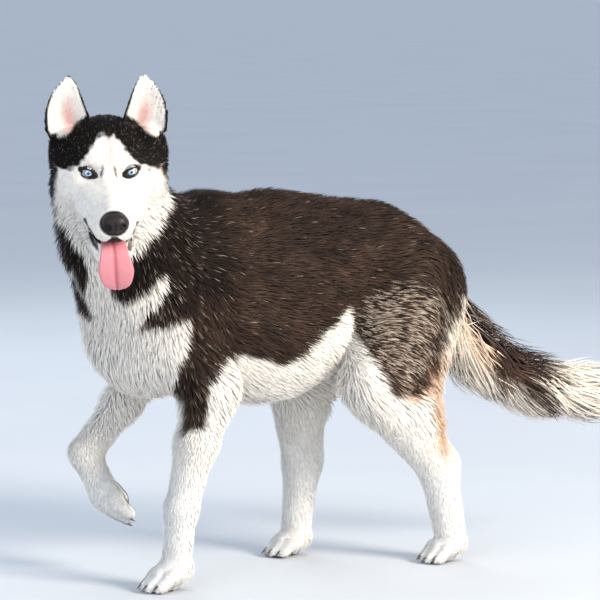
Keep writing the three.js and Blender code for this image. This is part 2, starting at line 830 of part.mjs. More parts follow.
function bladeOf(rings) {
  const points = rings.flat().flatMap((p) => [p.x, p.y, p.z]);
  const faces = [0, 2, 1, 0, 3, 2];
  const tip = points.length / 3 - 1;
  for (let i = 0; i + 1 < rings.length; i++)
    for (let j = 0; j < 4; j++) {
      const a = i * 4 + j;
      const b = i * 4 + ((j + 1) % 4);
      if (rings[i + 1].length === 1) faces.push(a, b, tip);
      else faces.push(a, b, b + 4, a, b + 4, a + 4);
    }
  return outward(points, faces);
}

function ringOfLocks(field, centre, along, count, kind, lieAt, keep, widest = 220) {
  const side = along.clone().cross(Math.abs(along.z) > 0.95 ? V(0, 1, 0) : V(0, 0, 1)).normalize();
  const over = side.clone().cross(along).normalize();
  const made = [];
  const start = chance();
  for (let j = 0; j < count; j++) {
    const a = ((j + start + (chance() - 0.5) * 0.3) / count) * 2 * Math.PI;
    const way = side.clone().multiplyScalar(Math.cos(a)).addScaledVector(over, Math.sin(a));
    const root = castOut(field, centre, way, widest);
    if (root === null || !keep(root)) continue;
    made.push(lockAt(field, root, lieAt(root), kind));
  }
  return made;
}

function joined(core, made) {
  return made.reduce((whole, lock) => whole.add(lock), core);
}

const nodes = {};
const bodyCell = 22;
const headCell = 10.5;
const pawCell = 9;
const legSides = 13;
const legStep = 17;

const bodyLow = V(-330, -200, 180);
const bodyHigh = V(460, 200, 720);
const bodyMesh = surfaceNet(coreField, bodyLow, bodyHigh, bodyCell);
let torso = bodyMesh.intersect(below(chestPlane));
for (const plane of Object.values(legPlane)) torso = torso.intersect(below(plane));
const side = (plane, p) => dot(plane.normal, p.clone().sub(plane.point));
const neckAlong = neckTop.clone().sub(neckBase).normalize();
const downNeck = neckAlong.clone().multiplyScalar(-0.75).add(V(0, 0, -0.65)).normalize();
const neckLocks = [];
for (const t of [0.96, 0.74, 0.52, 0.32])
  neckLocks.push(...ringOfLocks(
    coreField,
    neckBase.clone().lerp(neckTop, t).add(V(-20, 0, -20)),
    neckAlong,
    16,
    'ruff',
    (p) => downNeck.clone().lerp(V(1, 0.2, -0.15), ramp((p.z - 520) / 50)).normalize(),
    (p) => side(neckPlane, p) < -6 && side(chestPlane, p) > 14 && slopeAt(coreField, p).dot(neckAlong) < 0.75,
  ));
nodes.neck = joined(bodyMesh, neckLocks).intersect(above(chestPlane)).intersect(below(neckPlane));

const chestLocks = [];
for (const [z, count] of [[450, 14], [405, 14], [355, 12]])
  chestLocks.push(...ringOfLocks(
    coreField,
    V(-70, 0, z),
    V(0, 0, 1),
    count,
    'chest',
    () => V(0.3, 0, -1).normalize(),
    (p) => coreInset(p) > 8 && side(chestPlane, p) < -4,
  ));
for (const x of [-20, 45, 110, 170])
  for (const y of [-34, 2, 36]) {
    const root = castOut(coreField, V(x, y, 420), V(0, 0, -1), 260);
    if (root !== null) chestLocks.push(lockAt(coreField, root, V(1, 0, -0.1), 'belly'));
  }
nodes.torso = joined(torso, chestLocks).intersect(below(chestPlane));
for (const plane of Object.values(legPlane)) nodes.torso = nodes.torso.intersect(below(plane));

const legs = {
  foreleg_left: [foreLeft, foreArm(foreLeft), 0, 1, V(-52, -60, 335)],
  foreleg_right: [foreRight, foreArm(foreRight), -105 * DEG, 1, V(-30, 60, 365)],
  hindleg_left: [hindLeft, hindShank(hindLeft), 0, 0.94, V(330, -30, 470)],
  hindleg_right: [hindRight, hindShank(hindRight), 0, 0.94, V(310, 40, 430)],
};
const tailMiddle = tailLine.map((t) => t[0]);
const tailZone = ringCast((p) => tailField(p) - 3, tailMiddle, 16, 26, 80);
const grownLegs = [];
for (const [name, [leg, forms, lift, size, top]] of Object.entries(legs)) {
  const paw = pawField(leg, V(-1, 0, 0), lift, size);
  const own = withLimb(forms);
  const field = (p) => blend(own(p), paw(p), 12);
  const fore = name.startsWith('fore');
  const line = fore
    ? [top, leg.elbow.clone().add(V(4, 0, 0)), leg.elbow.clone().lerp(leg.carpus, 0.5), leg.carpus, leg.ball]
    : [top, leg.knee.clone().lerp(leg.hip, 0.35).add(V(26, 0, -14)), leg.knee.clone().lerp(leg.hock, 0.45),
      leg.hock, leg.hock.clone().lerp(leg.ball, 0.5), leg.ball];
  const widest = fore ? 92 : 118;
  const shaft = ringCast(own, line, legSides, legStep, widest);
  const wider = ringCast((p) => own(p) - 2 * partGap, line, legSides, legStep, widest + partGap);
  grownLegs.push(wider);
  const reach = V(78, 52, 78);
  const foot = surfaceNet(paw, leg.ball.clone().sub(reach), leg.ball.clone().add(reach), pawCell);
  const half = { point: V(0, 0, 0), normal: V(0, leg.side, 0) };
  const fringe = [];
  if (!fore)
    for (const [z, spread] of [[405, 3], [365, 3], [322, 3], [282, 2]])
      for (let j = 0; j < spread; j++) {
        const way = V(Math.cos((j * 32 - 4) * DEG), Math.sin((j * 32 - 4) * DEG) * leg.side, 0);
        const from = V(leg.knee.x + 80, 52 * leg.side, z);
        const root = castOut(own, from, way, 160);
        if (root !== null) fringe.push(lockAt(own, root, V(0.35, 0, -1), 'breech'));
      }
  const whole = joined(shaft.add(foot), fringe).intersect(above(legPlane[name])).intersect(above(half));
  if (fore) nodes[name] = whole;
  else {
    const stifle = { point: leg.knee.clone().lerp(leg.hock, 0.42), normal: V(0, 0, 1) };
    nodes[name.replace('hindleg', 'thigh')] = whole.intersect(above(stifle)).subtract(tailZone);
    nodes[name] = whole.intersect(below(stifle));
  }
}

const grownBody = surfaceNet((p) => coreField(p) - 3 * partGap, bodyLow, bodyHigh, bodyCell);
const tailCore = (p) => {
  const whole = tailField(p);
  return whole + tailHalf(p) * (1 - tailCoreShare);
};
const tailCurve = new THREE.CatmullRomCurve3(tailMiddle, false, 'centripetal');
const tailLocks = [];
for (let i = 0; i < 8; i++) {
  const t = 0.1 + 0.112 * i;
  const along = tailCurve.getTangentAt(t);
  tailLocks.push(...ringOfLocks(
    tailCore,
    tailCurve.getPointAt(t),
    along,
    i % 2 === 0 ? 6 : 7,
    'tail',
    () => along.clone(),
    () => true,
    90,
  ));
}
nodes.tail = joined(ringCast(tailCore, tailMiddle, 12, 30, 80), tailLocks).subtract(grownBody);
for (const leg of grownLegs) nodes.tail = nodes.tail.subtract(leg);

const cheekLocks = [];
for (const s of [-1, 1])
  for (const [v, w, count] of [[-8, -66, 2], [-34, -58, 3], [-58, -50, 3]])
    for (let j = 0; j < count; j++) {
      const from = headPoint(16 * s, v, w);
      const way = headWay(s, -0.1, 0.42 - j * 0.4);
      const root = castOut(headField, from, way, 120);
      if (root !== null) cheekLocks.push(lockAt(headField, root, headWay(0.3 * s, -0.85, -0.3), 'cheek'));
    }
let head = surfaceNet(headField, V(-400, -330, 440), V(-60, 60, 740), headCell);
head = joined(head, cheekLocks).intersect(above(neckPlane));
for (const s of [-1, 1]) {
  const word = s < 0 ? 'right' : 'left';
  const ear = toBody(earSolid(s));
  const cut = {
    point: headPoint(earBase.x * s, earBase.y, earBase.z),
    normal: headWay(0.514 * s, 0.857, 0),
  };
  nodes[`ear_${word}`] = ear.intersect(above(cut));
  head = head.intersect(below(cut)).add(ear.intersect(below(cut)));
  for (const rim of [...lidSolids(s), ...lipSolids(s)]) head = head.add(toBody(rim));
  const eye = V((eyeSpacing / 2) * s, 0, eyeDepth);
  nodes[`eye_${word}`] = toBody(sphereAt(eye, eyeRadius));
  head = head.subtract(toBody(sphereAt(eye, eyeRadius + partGap)));
}
const nostrils = [-1, 1].map((s) => cord(
  [V(7.5 * s, -44, 104), V(8.5 * s, -44, 96), V(14 * s, -46, 90), V(20 * s, -47, 87)],
  [[3.4, 4.4], [3.2, 4], [2.2, 2.6], [1.2, 1.6]],
  V(0, 1, 0),
));
nodes.nose = toBody(noseSolid(0).subtract(nostrils[0]).subtract(nostrils[1]));
nodes.tongue = toBody(tongueSolid(0));
nodes.head = head.subtract(toBody(noseSolid(partGap))).subtract(toBody(tongueSolid(partGap)));

const floorPlane = { point: V(0, 0, soleTrim), normal: V(0, 0, 1) };
const looks = {
  dark: { color: 0x2e2823, roughness: 0.85, metalness: 0 },
  light: { color: 0xe9e1d3, roughness: 0.85, metalness: 0 },
  nose: { color: 0x17110f, roughness: 0.4, metalness: 0 },
  tongue: { color: 0xd9777c, roughness: 0.45, metalness: 0 },
  eye: { color: 0xa9c6dd, roughness: 0.1, metalness: 0 },
};
const lookOf = { torso: 'dark', neck: 'dark', nose: 'nose', tongue: 'tongue', eye_left: 'eye', eye_right: 'eye' };
const dog = new THREE.Group();
dog.name = 'husky';
for (const [name, solid] of Object.entries(nodes)) {
  const body = largest(solid.intersect(above(floorPlane, 0)));
  const mesh = body.getMesh();
  const points = [];
  for (let i = 0; i < mesh.numVert; i++)
    for (let c = 0; c < 3; c++) points.push(mesh.vertProperties[i * mesh.numProp + c]);
  const [at, faces] = compact(...separate(...thin(points, [...mesh.triVerts], cutSlack)));
  const geometry = new THREE.BufferGeometry();
  geometry.setAttribute('position', new THREE.BufferAttribute(new Float32Array(at), 3));
  geometry.setIndex(faces);
  geometry.translate(originShift.x, originShift.y, originShift.z);
  geometry.computeVertexNormals();
  const node = new THREE.Mesh(geometry, new THREE.MeshStandardMaterial(looks[lookOf[name] ?? 'light']));
  node.name = name;
  dog.add(node);
}

export default dog;
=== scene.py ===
import math
import bpy
import numpy as np
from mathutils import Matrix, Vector


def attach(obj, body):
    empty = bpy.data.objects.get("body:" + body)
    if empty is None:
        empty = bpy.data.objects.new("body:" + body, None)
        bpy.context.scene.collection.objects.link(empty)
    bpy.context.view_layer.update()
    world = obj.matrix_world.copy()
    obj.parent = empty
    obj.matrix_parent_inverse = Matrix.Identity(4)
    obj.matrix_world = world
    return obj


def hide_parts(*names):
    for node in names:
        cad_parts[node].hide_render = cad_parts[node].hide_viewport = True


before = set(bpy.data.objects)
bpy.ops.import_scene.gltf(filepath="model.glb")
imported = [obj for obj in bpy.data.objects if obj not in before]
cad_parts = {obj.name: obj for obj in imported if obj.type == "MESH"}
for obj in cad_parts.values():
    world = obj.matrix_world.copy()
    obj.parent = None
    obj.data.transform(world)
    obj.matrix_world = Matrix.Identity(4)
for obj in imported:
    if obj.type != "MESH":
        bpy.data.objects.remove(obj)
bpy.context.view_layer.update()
rng = np.random.default_rng(7)

# The anatomy is in millimetres in the working frame; the row frame is shifted from it
SHIFT = np.array([-209.0, 44.0, -8.0])
FLOOR = 8.0


def vec(x, y, z):
    return np.array([x, y, z], float)


def unit(v):
    return v / np.maximum(np.linalg.norm(v, axis=-1, keepdims=True), 1e-9)


def ramp(t):
    c = np.clip(t, 0, 1)
    return c * c * (3 - 2 * c)


def rise(value, start, span):
    """0 up to start, then smoothly to 1 over the span."""
    return ramp((value - start) / span)


def fall(value, end, span):
    """1 down from the end by more than the span, smoothly to 0 at the end."""
    return ramp((end - value) / span)


def about(value, middle, reach):
    """1 at the middle, smoothly to 0 at the reach on either side."""
    return ramp(1 - np.abs(value - middle) / reach)


def height_on(line, at):
    """Height of a line of points at each place along it."""
    return np.interp(at, line[:, 0], line[:, 1])


# Camera: the photograph's own angle, with its focal length and its side in pixels
FOCAL, FRAME = 3273, 600
CAMERA_TARGET = Vector((-0.053, 0.044, 0.410))
CAMERA_BACK = Vector((-0.4976, -0.8619, 0.0976))
CAMERA_DISTANCE = 5.0
camera_data = bpy.data.cameras.new("camera")
camera_data.sensor_width = 36
camera_data.lens = camera_data.sensor_width * FOCAL / FRAME
camera_data.clip_end = 2000
camera = bpy.data.objects.new("camera", camera_data)
bpy.context.scene.collection.objects.link(camera)
camera.location = CAMERA_TARGET + CAMERA_BACK * CAMERA_DISTANCE
camera.rotation_euler = (-CAMERA_BACK).to_track_quat("-Z", "Y").to_euler()
bpy.context.scene.camera = camera


# Fields: the distance to a form's surface, negative inside
def ball(forehead_shade, radii):
    c, r = np.array(forehead_shade, float), np.array(radii, float)

    def at(p):
        q = (p - c) / r
        k0 = np.sqrt((q * q).sum(1))
        k1 = np.sqrt(((q / r) ** 2).sum(1))
        return k0 * (k0 - 1) / np.maximum(k1, 1e-6)
    return at


def limb(a, b, ra, rb):
    a, b = np.array(a, float), np.array(b, float)
    axis = b - a
    length_sq = axis @ axis

    def at(p):
        q = p - a
        t = np.clip(q @ axis / length_sq, 0, 1)
        return np.sqrt(((q - t[:, None] * axis) ** 2).sum(1)) - (ra + (rb - ra) * t)
    return at


def blend(a, b, k):
    h = np.maximum(k - np.abs(a - b), 0) / k
    return np.minimum(a, b) - h * h * k * 0.25


def carve(a, b, k):
    return -blend(-a, b, k)


def gather(forms, k):
    def at(p):
        d = np.full(len(p), 1e4)
        for form in forms:
            own = k
            if isinstance(form, tuple):
                form, own = form
            d = blend(d, form(p), own)
        return d
    return at


def within(at, low, high, far=400.0):
    low, high = np.array(low, float), np.array(high, float)

    def masked(p):
        d = np.full(len(p), far)
        m = ((p > low) & (p < high)).all(1)
        if m.any():
            d[m] = at(p[m])
        return d
    return masked


def lerp(a, b, t):
    return a + (b - a) * t


def mix(a, b, weight):
    """Rows of places, ways or colours, blended by a weight for each row."""
    return a + (b - a) * weight[:, None]


# Joints under the coat
NECK_BASE, NECK_TOP = vec(-62, 0, 455), vec(-192, -66, 566)
LEGS = {
    "foreleg_left": dict(side=-1, top=vec(-108, -68, 428), bend=vec(-50, -86, 302), low=vec(-96, -86, 128),
                         foot=vec(-106, -86, 42), lift=0, size=1.0),
    "foreleg_right": dict(side=1, top=vec(-110, 66, 430), bend=vec(-55, 84, 332), low=vec(-168, 86, 196),
                          foot=vec(-136, 86, 128), lift=-105, size=1.0),
    "hindleg_left": dict(side=-1, top=vec(320, -48, 440), bend=vec(236, -82, 292), low=vec(350, -86, 152),
                         foot=vec(376, -84, 40), lift=0, size=0.94),
    "hindleg_right": dict(side=1, top=vec(318, 48, 440), bend=vec(186, 80, 322), low=vec(206, 85, 148),
                          foot=vec(196, 84, 40), lift=0, size=0.94),
}
# Places along the tail, each with its half-thickness
TAIL = np.array([[352, 0, 462, 40], [408, -8, 388, 50], [470, -28, 312, 52], [545, -64, 270, 48],
                 [620, -100, 259, 42], [662, -118, 262, 33], [690, -130, 266, 8]], float)

# Head frame: u to the dog's left, v up, w forward
HEAD_ORIGIN = vec(-240, -145, 632)
YAW, PITCH, ROLL = np.radians([-112.5, 18, 1.2])


def turn_z(a):
    return np.array([[math.cos(a), -math.sin(a), 0], [math.sin(a), math.cos(a), 0], [0, 0, 1]])


def turn_y(a):
    return np.array([[math.cos(a), 0, math.sin(a)], [0, 1, 0], [-math.sin(a), 0, math.cos(a)]])


def turn_x(a):
    return np.array([[1, 0, 0], [0, math.cos(a), -math.sin(a)], [0, math.sin(a), math.cos(a)]])


HEAD = turn_z(YAW) @ turn_y(PITCH) @ turn_x(ROLL) @ np.array([[0, 0, 1], [1, 0, 0], [0, 1, 0.0]])


def to_head(p):
    return (p - HEAD_ORIGIN) @ HEAD


def from_head(h):
    return np.asarray(h, float) @ HEAD.T + HEAD_ORIGIN


trunk = [
    ball((80, 0, 420), (182, 107, 160)),
    (ball((0, 0, 488), (88, 70, 90)), 50),
    (ball((-105, 0, 405), (90, 90, 118)), 60),
    (limb((110, 0, 486), (268, 0, 477), 100, 93), 40),
    (ball((296, 0, 440), (90, 86, 104)), 36),
]
for leg in LEGS.values():
    s = leg["side"]
    if leg["top"][0] < 0:
        trunk.append((limb((-8, 34 * s, 538), leg["top"], 44, 52), 45))
        trunk.append((limb(leg["top"], leg["bend"], 52, 42), 40))
    else:
        back = leg["top"] + vec(28, 4 * s, -20)
        low = lerp(leg["bend"], leg["low"], 0.42) + vec(30, 0, 22)
        trunk.append((limb(leg["top"], leg["bend"], 80, 52), 45))
        trunk.append((limb(back, low, 66, 40), 45))
trunk.append((limb(NECK_BASE, NECK_TOP, 108, 84), 50))
trunk.append((limb((-105, -4, 400), (-200, -76, 520), 88, 72), 60))
body_field = gather(trunk, 40)


def paw_places(leg):
    """The paw's frame: ahead, across and under, and its toes' roots, knuckles and tips."""
    a = math.radians(leg["lift"])
    way = turn_y(a) @ vec(-1, 0, 0)
    under = turn_y(a) @ vec(0, 0, -1)

    def place(x, y, z):
        return leg["foot"] + (way * x + vec(0, 1, 0) * y + under * z) * leg["size"]
    toes = []
    for across, ahead in ((-21, 26), (-8, 36), (8, 36), (21, 26)):
        toes.append((place(4, across * 0.75, 10), place(ahead - 8, across, 12),
                     place(ahead + 8, across * 1.04, 25)))
    return place, way, under, toes


def leg_fields(name, leg):
    foot = leg["foot"]
    if "fore" in name:
        elbow, carpus = leg["bend"], leg["low"]
        mid = lerp(elbow, carpus, 0.45)
        forms = [limb(elbow, mid, 41, 31), (limb(mid, carpus, 31, 25), 20),
                 (limb(elbow + vec(22, 0, 14), mid, 22, 16), 25), (limb(carpus, foot, 25, 23), 14)]
    else:
        knee, hock = leg["bend"], leg["low"]
        heel = hock + vec(12, 0, 14)
        calf = lerp(knee, hock, 0.5) + vec(14, 0, 10)
        forms = [limb(knee, hock, 45, 27), (limb(calf, heel, 34, 19), 30),
                 (limb(heel, foot + vec(4, 0, 22), 18, 16), 20), (limb(hock, foot, 28, 24), 16)]
    k = leg["size"]
    place, _, _, toes = paw_places(leg)
    paw = [limb(place(-4, 0, 4), place(14, 0, 14), 24 * k, 24 * k)]
    for root, knuckle, tip in toes:
        paw.append((limb(root, knuckle, 13 * k, 12.5 * k), 4))
        paw.append((limb(knuckle, tip, 12.5 * k, 10.5 * k), 3))
    points = np.array([leg["bend"], leg["low"], foot])
    margin = 110
    return (within(gather(forms, 25), points.min(0) - margin, points.max(0) + margin),
            within(gather(paw, 8), foot - margin, foot + margin))


leg_forms = {name: leg_fields(name, leg) for name, leg in LEGS.items()}
tail_forms = [limb(a[:3], b[:3], a[3], b[3]) for a, b in zip(TAIL[:-1], TAIL[1:])]
tail_field = within(gather(tail_forms, 16), (280, -240, 140), (800, 120, 560))


def tail_place(p):
    """How far along the tail a point lies, its half-thickness there, and the way the tail runs."""
    best = np.full(len(p), 1e9)
    t_all, half, way = np.zeros(len(p)), np.zeros(len(p)), np.zeros((len(p), 3))
    for i in range(len(TAIL) - 1):
        a, b = TAIL[i, :3], TAIL[i + 1, :3]
        axis = b - a
        t = np.clip((p - a) @ axis / (axis @ axis), 0, 1)
        d = np.linalg.norm(p - a - t[:, None] * axis, axis=1)
        m = d < best
        best[m] = d[m]
        t_all[m] = (i + t[m]) / (len(TAIL) - 1)
        half[m] = TAIL[i, 3] + (TAIL[i + 1, 3] - TAIL[i, 3]) * t[m]
        way[m] = axis / np.linalg.norm(axis)
    return t_all, half, way


# Head forms
skull = [ball((0, 6, -62), (62, 54, 66))]
jaw = [limb((0, -84, -10), (0, -104, 58), 26, 14)]
for s in (-1, 1):
    skull.append((ball((26 * s, 19, -26), (24, 16, 22)), 18))
    skull.append((ball((44 * s, -20, -44), (32, 38, 42)), 24))
    skull.append((ball((50 * s, -46, -68), (31, 42, 38)), 24))
    skull.append((ball((60 * s, 12, -74), (22, 34, 30)), 22))
    skull.append((ball((58 * s + 5, -8, -66), (24, 48, 36)), 20))
    skull.append((limb((21 * s, -43, 10), (12 * s, -55, 76), 26, 18), 18))
    jaw.append((limb((26 * s, -66, -30), (9 * s, -102, 50), 24, 13), 20))
skull.append((limb((0, -24, -14), (0, -39, 82), 19, 14), 18))
skull.append((limb((0, -70, -50), (0, -60, -100), 56, 60), 30))
upper_field, jaw_field = gather(skull, 24), gather(jaw, 16)
mouth_form = ball((0, -80, 50), (27, 7.5, 52))

# Lids from the middle of an eye, and lips, on the dog's left; the other side mirrors them

EYE_X, EYE_RADIUS, EYE_DEPTH = 30.5, 10.5, -9.4
EYE_INNER, EYE_OUTER = vec(-11.0, -5.2, 0.6), vec(11.2, 4.6, -5.8)
LID_UPPER = [EYE_INNER, vec(-5.0, 3.6, 1.5), vec(3.0, 5.9, -0.5), EYE_OUTER]
LID_LOWER = [EYE_INNER, vec(-4.4, -6.3, 1.2), vec(4.0, -4.3, -1.1), EYE_OUTER]
LIP_UPPER = [(37, -66, 4), (30, -71, 30), (20, -73, 60), (7, -69, 84), (1.5, -64, 92)]
LIP_LOWER = [(37, -66, 4), (30, -82, 22), (22, -93, 46), (12, -99, 62), (1.5, -100, 68)]


def smooth_line(points, count):
    """Catmull-Rom points through a short line."""
    p = np.array(points, float)
    p = np.vstack([2 * p[0] - p[1], p, 2 * p[-1] - p[-2]])
    out = []
    for t in np.linspace(0, len(p) - 3 - 1e-6, count):
        i, f = int(t), t - int(t)
        a, b, c, d = p[i:i + 4]
        bend, twist = 2 * a - 5 * b + 4 * c - d, 3 * b - a - 3 * c + d
        out.append(0.5 * (2 * b + (c - a) * f + bend * f ** 2 + twist * f ** 3))
    return np.array(out)


def line_distance(p, line):
    best = np.full(len(p), 1e9)
    for a, b in zip(line[:-1], line[1:]):
        axis = b - a
        t = np.clip((p - a) @ axis / (axis @ axis), 0, 1)
        best = np.minimum(best, np.linalg.norm(p - a - t[:, None] * axis, axis=1))
    return best


lid_lines = [smooth_line(line, 9) for line in (LID_UPPER, LID_LOWER)]
lip_lines = [smooth_line(line, 12) for line in (LIP_UPPER, LIP_LOWER)]


def mirrored(h):
    m = h.copy()
    m[:, 0] = np.abs(m[:, 0])
    return m


def eye_local(h):
    m = mirrored(h)
    m[:, 0] -= EYE_X
    return m


def lid_distance(h):
    e = eye_local(h)
    return np.minimum(*[line_distance(e, line) for line in lid_lines])


def lip_distance(h):
    m = mirrored(h)
    return np.minimum(*[line_distance(m, line) for line in lip_lines])


# Ears: cupped blades
EAR_BASE, EAR_TIP = vec(53, 42, -62), vec(53, 120, -70)
EAR_WIDTH, EAR_THICK, EAR_CUP = 30, 5.0, 11


def ear_place(h):
    """Height along an ear, place across it from edge to edge, and depth from its middle surface."""
    m = mirrored(h)
    t = (m[:, 1] - EAR_BASE[1]) / (EAR_TIP[1] - EAR_BASE[1])
    tc = np.clip(t, 0, 1)[:, None]
    axis = EAR_BASE + (EAR_TIP - EAR_BASE) * t[:, None]
    axis[:, 0] += 5 * np.sin(math.pi * tc[:, 0])
    across = unit(vec(0.857, -0.514, 0) * (1 - tc) + unit(vec(1, -0.1, 0)) * tc)
    back = unit(vec(0, -0.12, -1))
    a = m - axis
    taper = np.maximum(0, 1 - tc[:, 0] ** 2.2) ** 0.72
    half = np.maximum(1.5, EAR_WIDTH * (1 + 1.1 * np.minimum(t, 0)) * taper)
    u = (a * across).sum(1)
    cup = EAR_CUP * np.maximum(0.08, 1 - tc[:, 0])
    z = a @ back - cup * (1 - np.clip(u / half, -1.2, 1.2) ** 2)
    return t, u, half, z


def ear_field(h):
    t, u, half, z = ear_place(h)
    edge = (np.abs(u) - half) * 0.8
    top = (t - 1.0) * (EAR_TIP[1] - EAR_BASE[1])
    bottom = (-0.32 - t) * (EAR_TIP[1] - EAR_BASE[1])
    thick = EAR_THICK * (1 - 0.35 * np.clip(t, 0, 1))
    slab = np.abs(z) - thick / 2
    return -blend(-slab, -np.maximum(np.maximum(edge, top), bottom), 3)


ear_box = within(ear_field, (-110, 10, -110), (110, 135, -30))


def head_forms(p):
    h = to_head(p)
    d = blend(upper_field(h), jaw_field(h), 14)
    d = carve(d, mouth_form(h), 4)
    m = mirrored(h)
    return carve(d, ball((32, -1, 15), (19, 12, 17))(m), 9)


head_raw = within(head_forms, HEAD_ORIGIN - 190, HEAD_ORIGIN + 190)


# The coat's depth between the skin and the tips, and what each place belongs to
def regions(p):
    """Weights of head, leg, paw and tail at each point, with the fields they come from."""
    body, head, tail = body_field(p), head_raw(p), tail_field(p)
    legs, paws = [np.minimum.reduce([forms[k](p) for forms in leg_forms.values()]) for k in (0, 1)]
    return dict(
        body=body, head_field=head, tail_field=tail, legs=legs, paws=paws,
        head=ramp((body - head) / 40 + 0.45),
        leg=ramp((body - np.minimum(legs, paws)) / 34 + 0.5),
        paw=ramp((legs - paws) / 16 + 0.4),
        tail=ramp((body - tail) / 26 + 0.5),
    )


def coat_depth(p, r):
    """Thickness of the coat over the skin at each point."""
    x, _, z = p.T
    _, v, w = to_head(p).T
    ruff = rise(-x, 5, 110) * rise(z, 330, 70)
    breech = rise(x, 300, 50) * rise(z, 240, 60) * fall(z, 480, 60)
    belly = fall(z, 330, 40) * rise(x, -30, 60)
    d = lerp(11 + 8 * ruff + 6 * breech + 3 * belly, 4 + 9 * rise(z, 190, 120), r["leg"])
    d = lerp(d, 2.2, r["paw"] * r["leg"])
    t, half, _ = tail_place(p)
    d = lerp(d, half * 0.44, r["tail"] * ramp(t / 0.12))
    return lerp(d, 1.5 + fall(w, -14, 44) * (4 + 6 * fall(v, 10, 40)), r["head"])


def skin_field(p):
    """The coat's outer form less its depth, with the ears, lids, lips and eye sockets."""
    r = regions(p)
    legs = blend(r["body"], r["legs"], 34)
    d = np.minimum(r["body"], blend(legs, r["paws"], 12))
    d = blend(blend(d, r["tail_field"], 24), r["head_field"], 40) + coat_depth(p, r)
    near = r["head_field"] < 110
    if near.any():
        h = to_head(p[near])
        own = blend(d[near], ear_box(h), 5)
        own = blend(own, lid_distance(h) - 2.1, 2.5)
        own = blend(own, lip_distance(h) - 2.9, 2.5)
        socket = np.linalg.norm(eye_local(h) - vec(0, 0, EYE_DEPTH), axis=1)
        d[near] = np.maximum(own, EYE_RADIUS + 0.25 - socket)
    return np.maximum(d, FLOOR + 0.4 - p[:, 2])


# Skin: a net of quads over a grid that is finer about the head, worked out in blocks of cells
BLOCK = 8
BLOCKS_AT_ONCE = 400
FAR = 60.0


def steps(low, high, breaks):
    """Grid lines from low to high; breaks lists (upper end, step)."""
    out = [low]
    for end, step in breaks:
        while out[-1] < end:
            out.append(out[-1] + step * 1)
    while out[-1] < high:
        out.append(out[-1] + breaks[-1][1] * 1)
    n = (len(out) // BLOCK + 1) * BLOCK
    while len(out) < n:
        out.append(out[-1] + breaks[-1][1])
    return np.array(out)


def crossed(*lines):
    """All places of a grid, as rows."""
    return np.stack(np.meshgrid(*lines, indexing="ij"), -1).reshape(-1, 3)


def surface_net(field, axes):
    """Points and quads of the surface on which a field is nought."""
    n = [len(axis) for axis in axes]
    blocks = [k // BLOCK for k in n]
    lows = [axis[::BLOCK] for axis in axes]
    highs = [np.append(axis[BLOCK::BLOCK], axis[-1]) for axis in axes]
    d = field(crossed(*[(low + high) / 2 for low, high in zip(lows, highs)]))
    reach = np.linalg.norm(crossed(*[(high - low) / 2 for low, high in zip(lows, highs)]), axis=1)
    value = np.where(d < 0, -FAR, FAR).reshape(blocks).astype(np.float32)
    for axis in range(3):
        value = np.repeat(value, BLOCK, axis)
    live = np.argwhere((np.abs(d) < reach * 1.15 + 6).reshape(blocks))
    within_block = crossed(*[np.arange(BLOCK)] * 3)
    for start in range(0, len(live), BLOCKS_AT_ONCE):
        at = (live[start:start + BLOCKS_AT_ONCE, None] * BLOCK + within_block).reshape(-1, 3)
        value[tuple(at.T)] = field(np.stack([axis[at[:, k]] for k, axis in enumerate(axes)], 1))
    inside = value < 0
    count = sum(inside[i:n[0] - 1 + i, j:n[1] - 1 + j, m:n[2] - 1 + m].astype(np.int8)
                for i in (0, 1) for j in (0, 1) for m in (0, 1))
    cells = np.argwhere((count > 0) & (count < 8))
    vertex = np.full([k - 1 for k in n], -1, np.int64)
    vertex[tuple(cells.T)] = np.arange(len(cells))
    total = np.zeros((len(cells), 3))
    hits = np.zeros(len(cells))
    for axis in range(3):
        for a in (0, 1):
            for b in (0, 1):
                c0 = [0, 0, 0]
                others = [o for o in range(3) if o != axis]
                c0[others[0]], c0[others[1]] = a, b
                c1 = list(c0)
                c1[axis] = 1
                i0, i1 = cells + c0, cells + c1
                v0, v1 = value[tuple(i0.T)], value[tuple(i1.T)]
                cross = (v0 < 0) != (v1 < 0)
                t = np.where(cross, v0 / np.where(cross, v0 - v1, 1), 0)
                spot = np.array(c0, float) + np.zeros((len(cells), 1))
                spot[:, axis] += t
                total += spot * cross[:, None]
                hits += cross
    at = total / hits[:, None]
    places = []
    for axis, line in enumerate(axes):
        i = cells[:, axis]
        places.append(line[i] + (line[i + 1] - line[i]) * at[:, axis])
    points = np.stack(places, 1)
    quads = []
    for axis in range(3):
        o1, o2 = (axis + 1) % 3, (axis + 2) % 3
        low = [slice(0, s - 1) for s in n]
        high = [slice(0, s - 1) for s in n]
        high[axis] = slice(1, n[axis])
        here, there = inside[tuple(low)], inside[tuple(high)]
        spots = np.argwhere(here != there)
        spots = spots[(spots[:, o1] > 0) & (spots[:, o2] > 0)]
        flip = ~inside[tuple(spots.T)]
        e1, e2 = np.zeros(3, int), np.zeros(3, int)
        e1[o1], e2[o2] = 1, 1
        q = np.stack([vertex[tuple((spots - e1 - e2).T)], vertex[tuple((spots - e2).T)],
                      vertex[tuple(spots.T)], vertex[tuple((spots - e1).T)]], 1)
        q[flip] = q[flip][:, ::-1]
        quads.append(q)
    return points, np.vstack(quads)


def normals_of(points, tris):
    """Unit normals of the points, and the triangles' normals by size."""
    a, b, c = points[tris[:, 0]], points[tris[:, 1]], points[tris[:, 2]]
    face = np.cross(b - a, c - a)
    out = np.zeros_like(points)
    for k in range(3):
        for axis in range(3):
            out[:, axis] += np.bincount(tris[:, k], face[:, axis], len(points))
    return unit(out), face


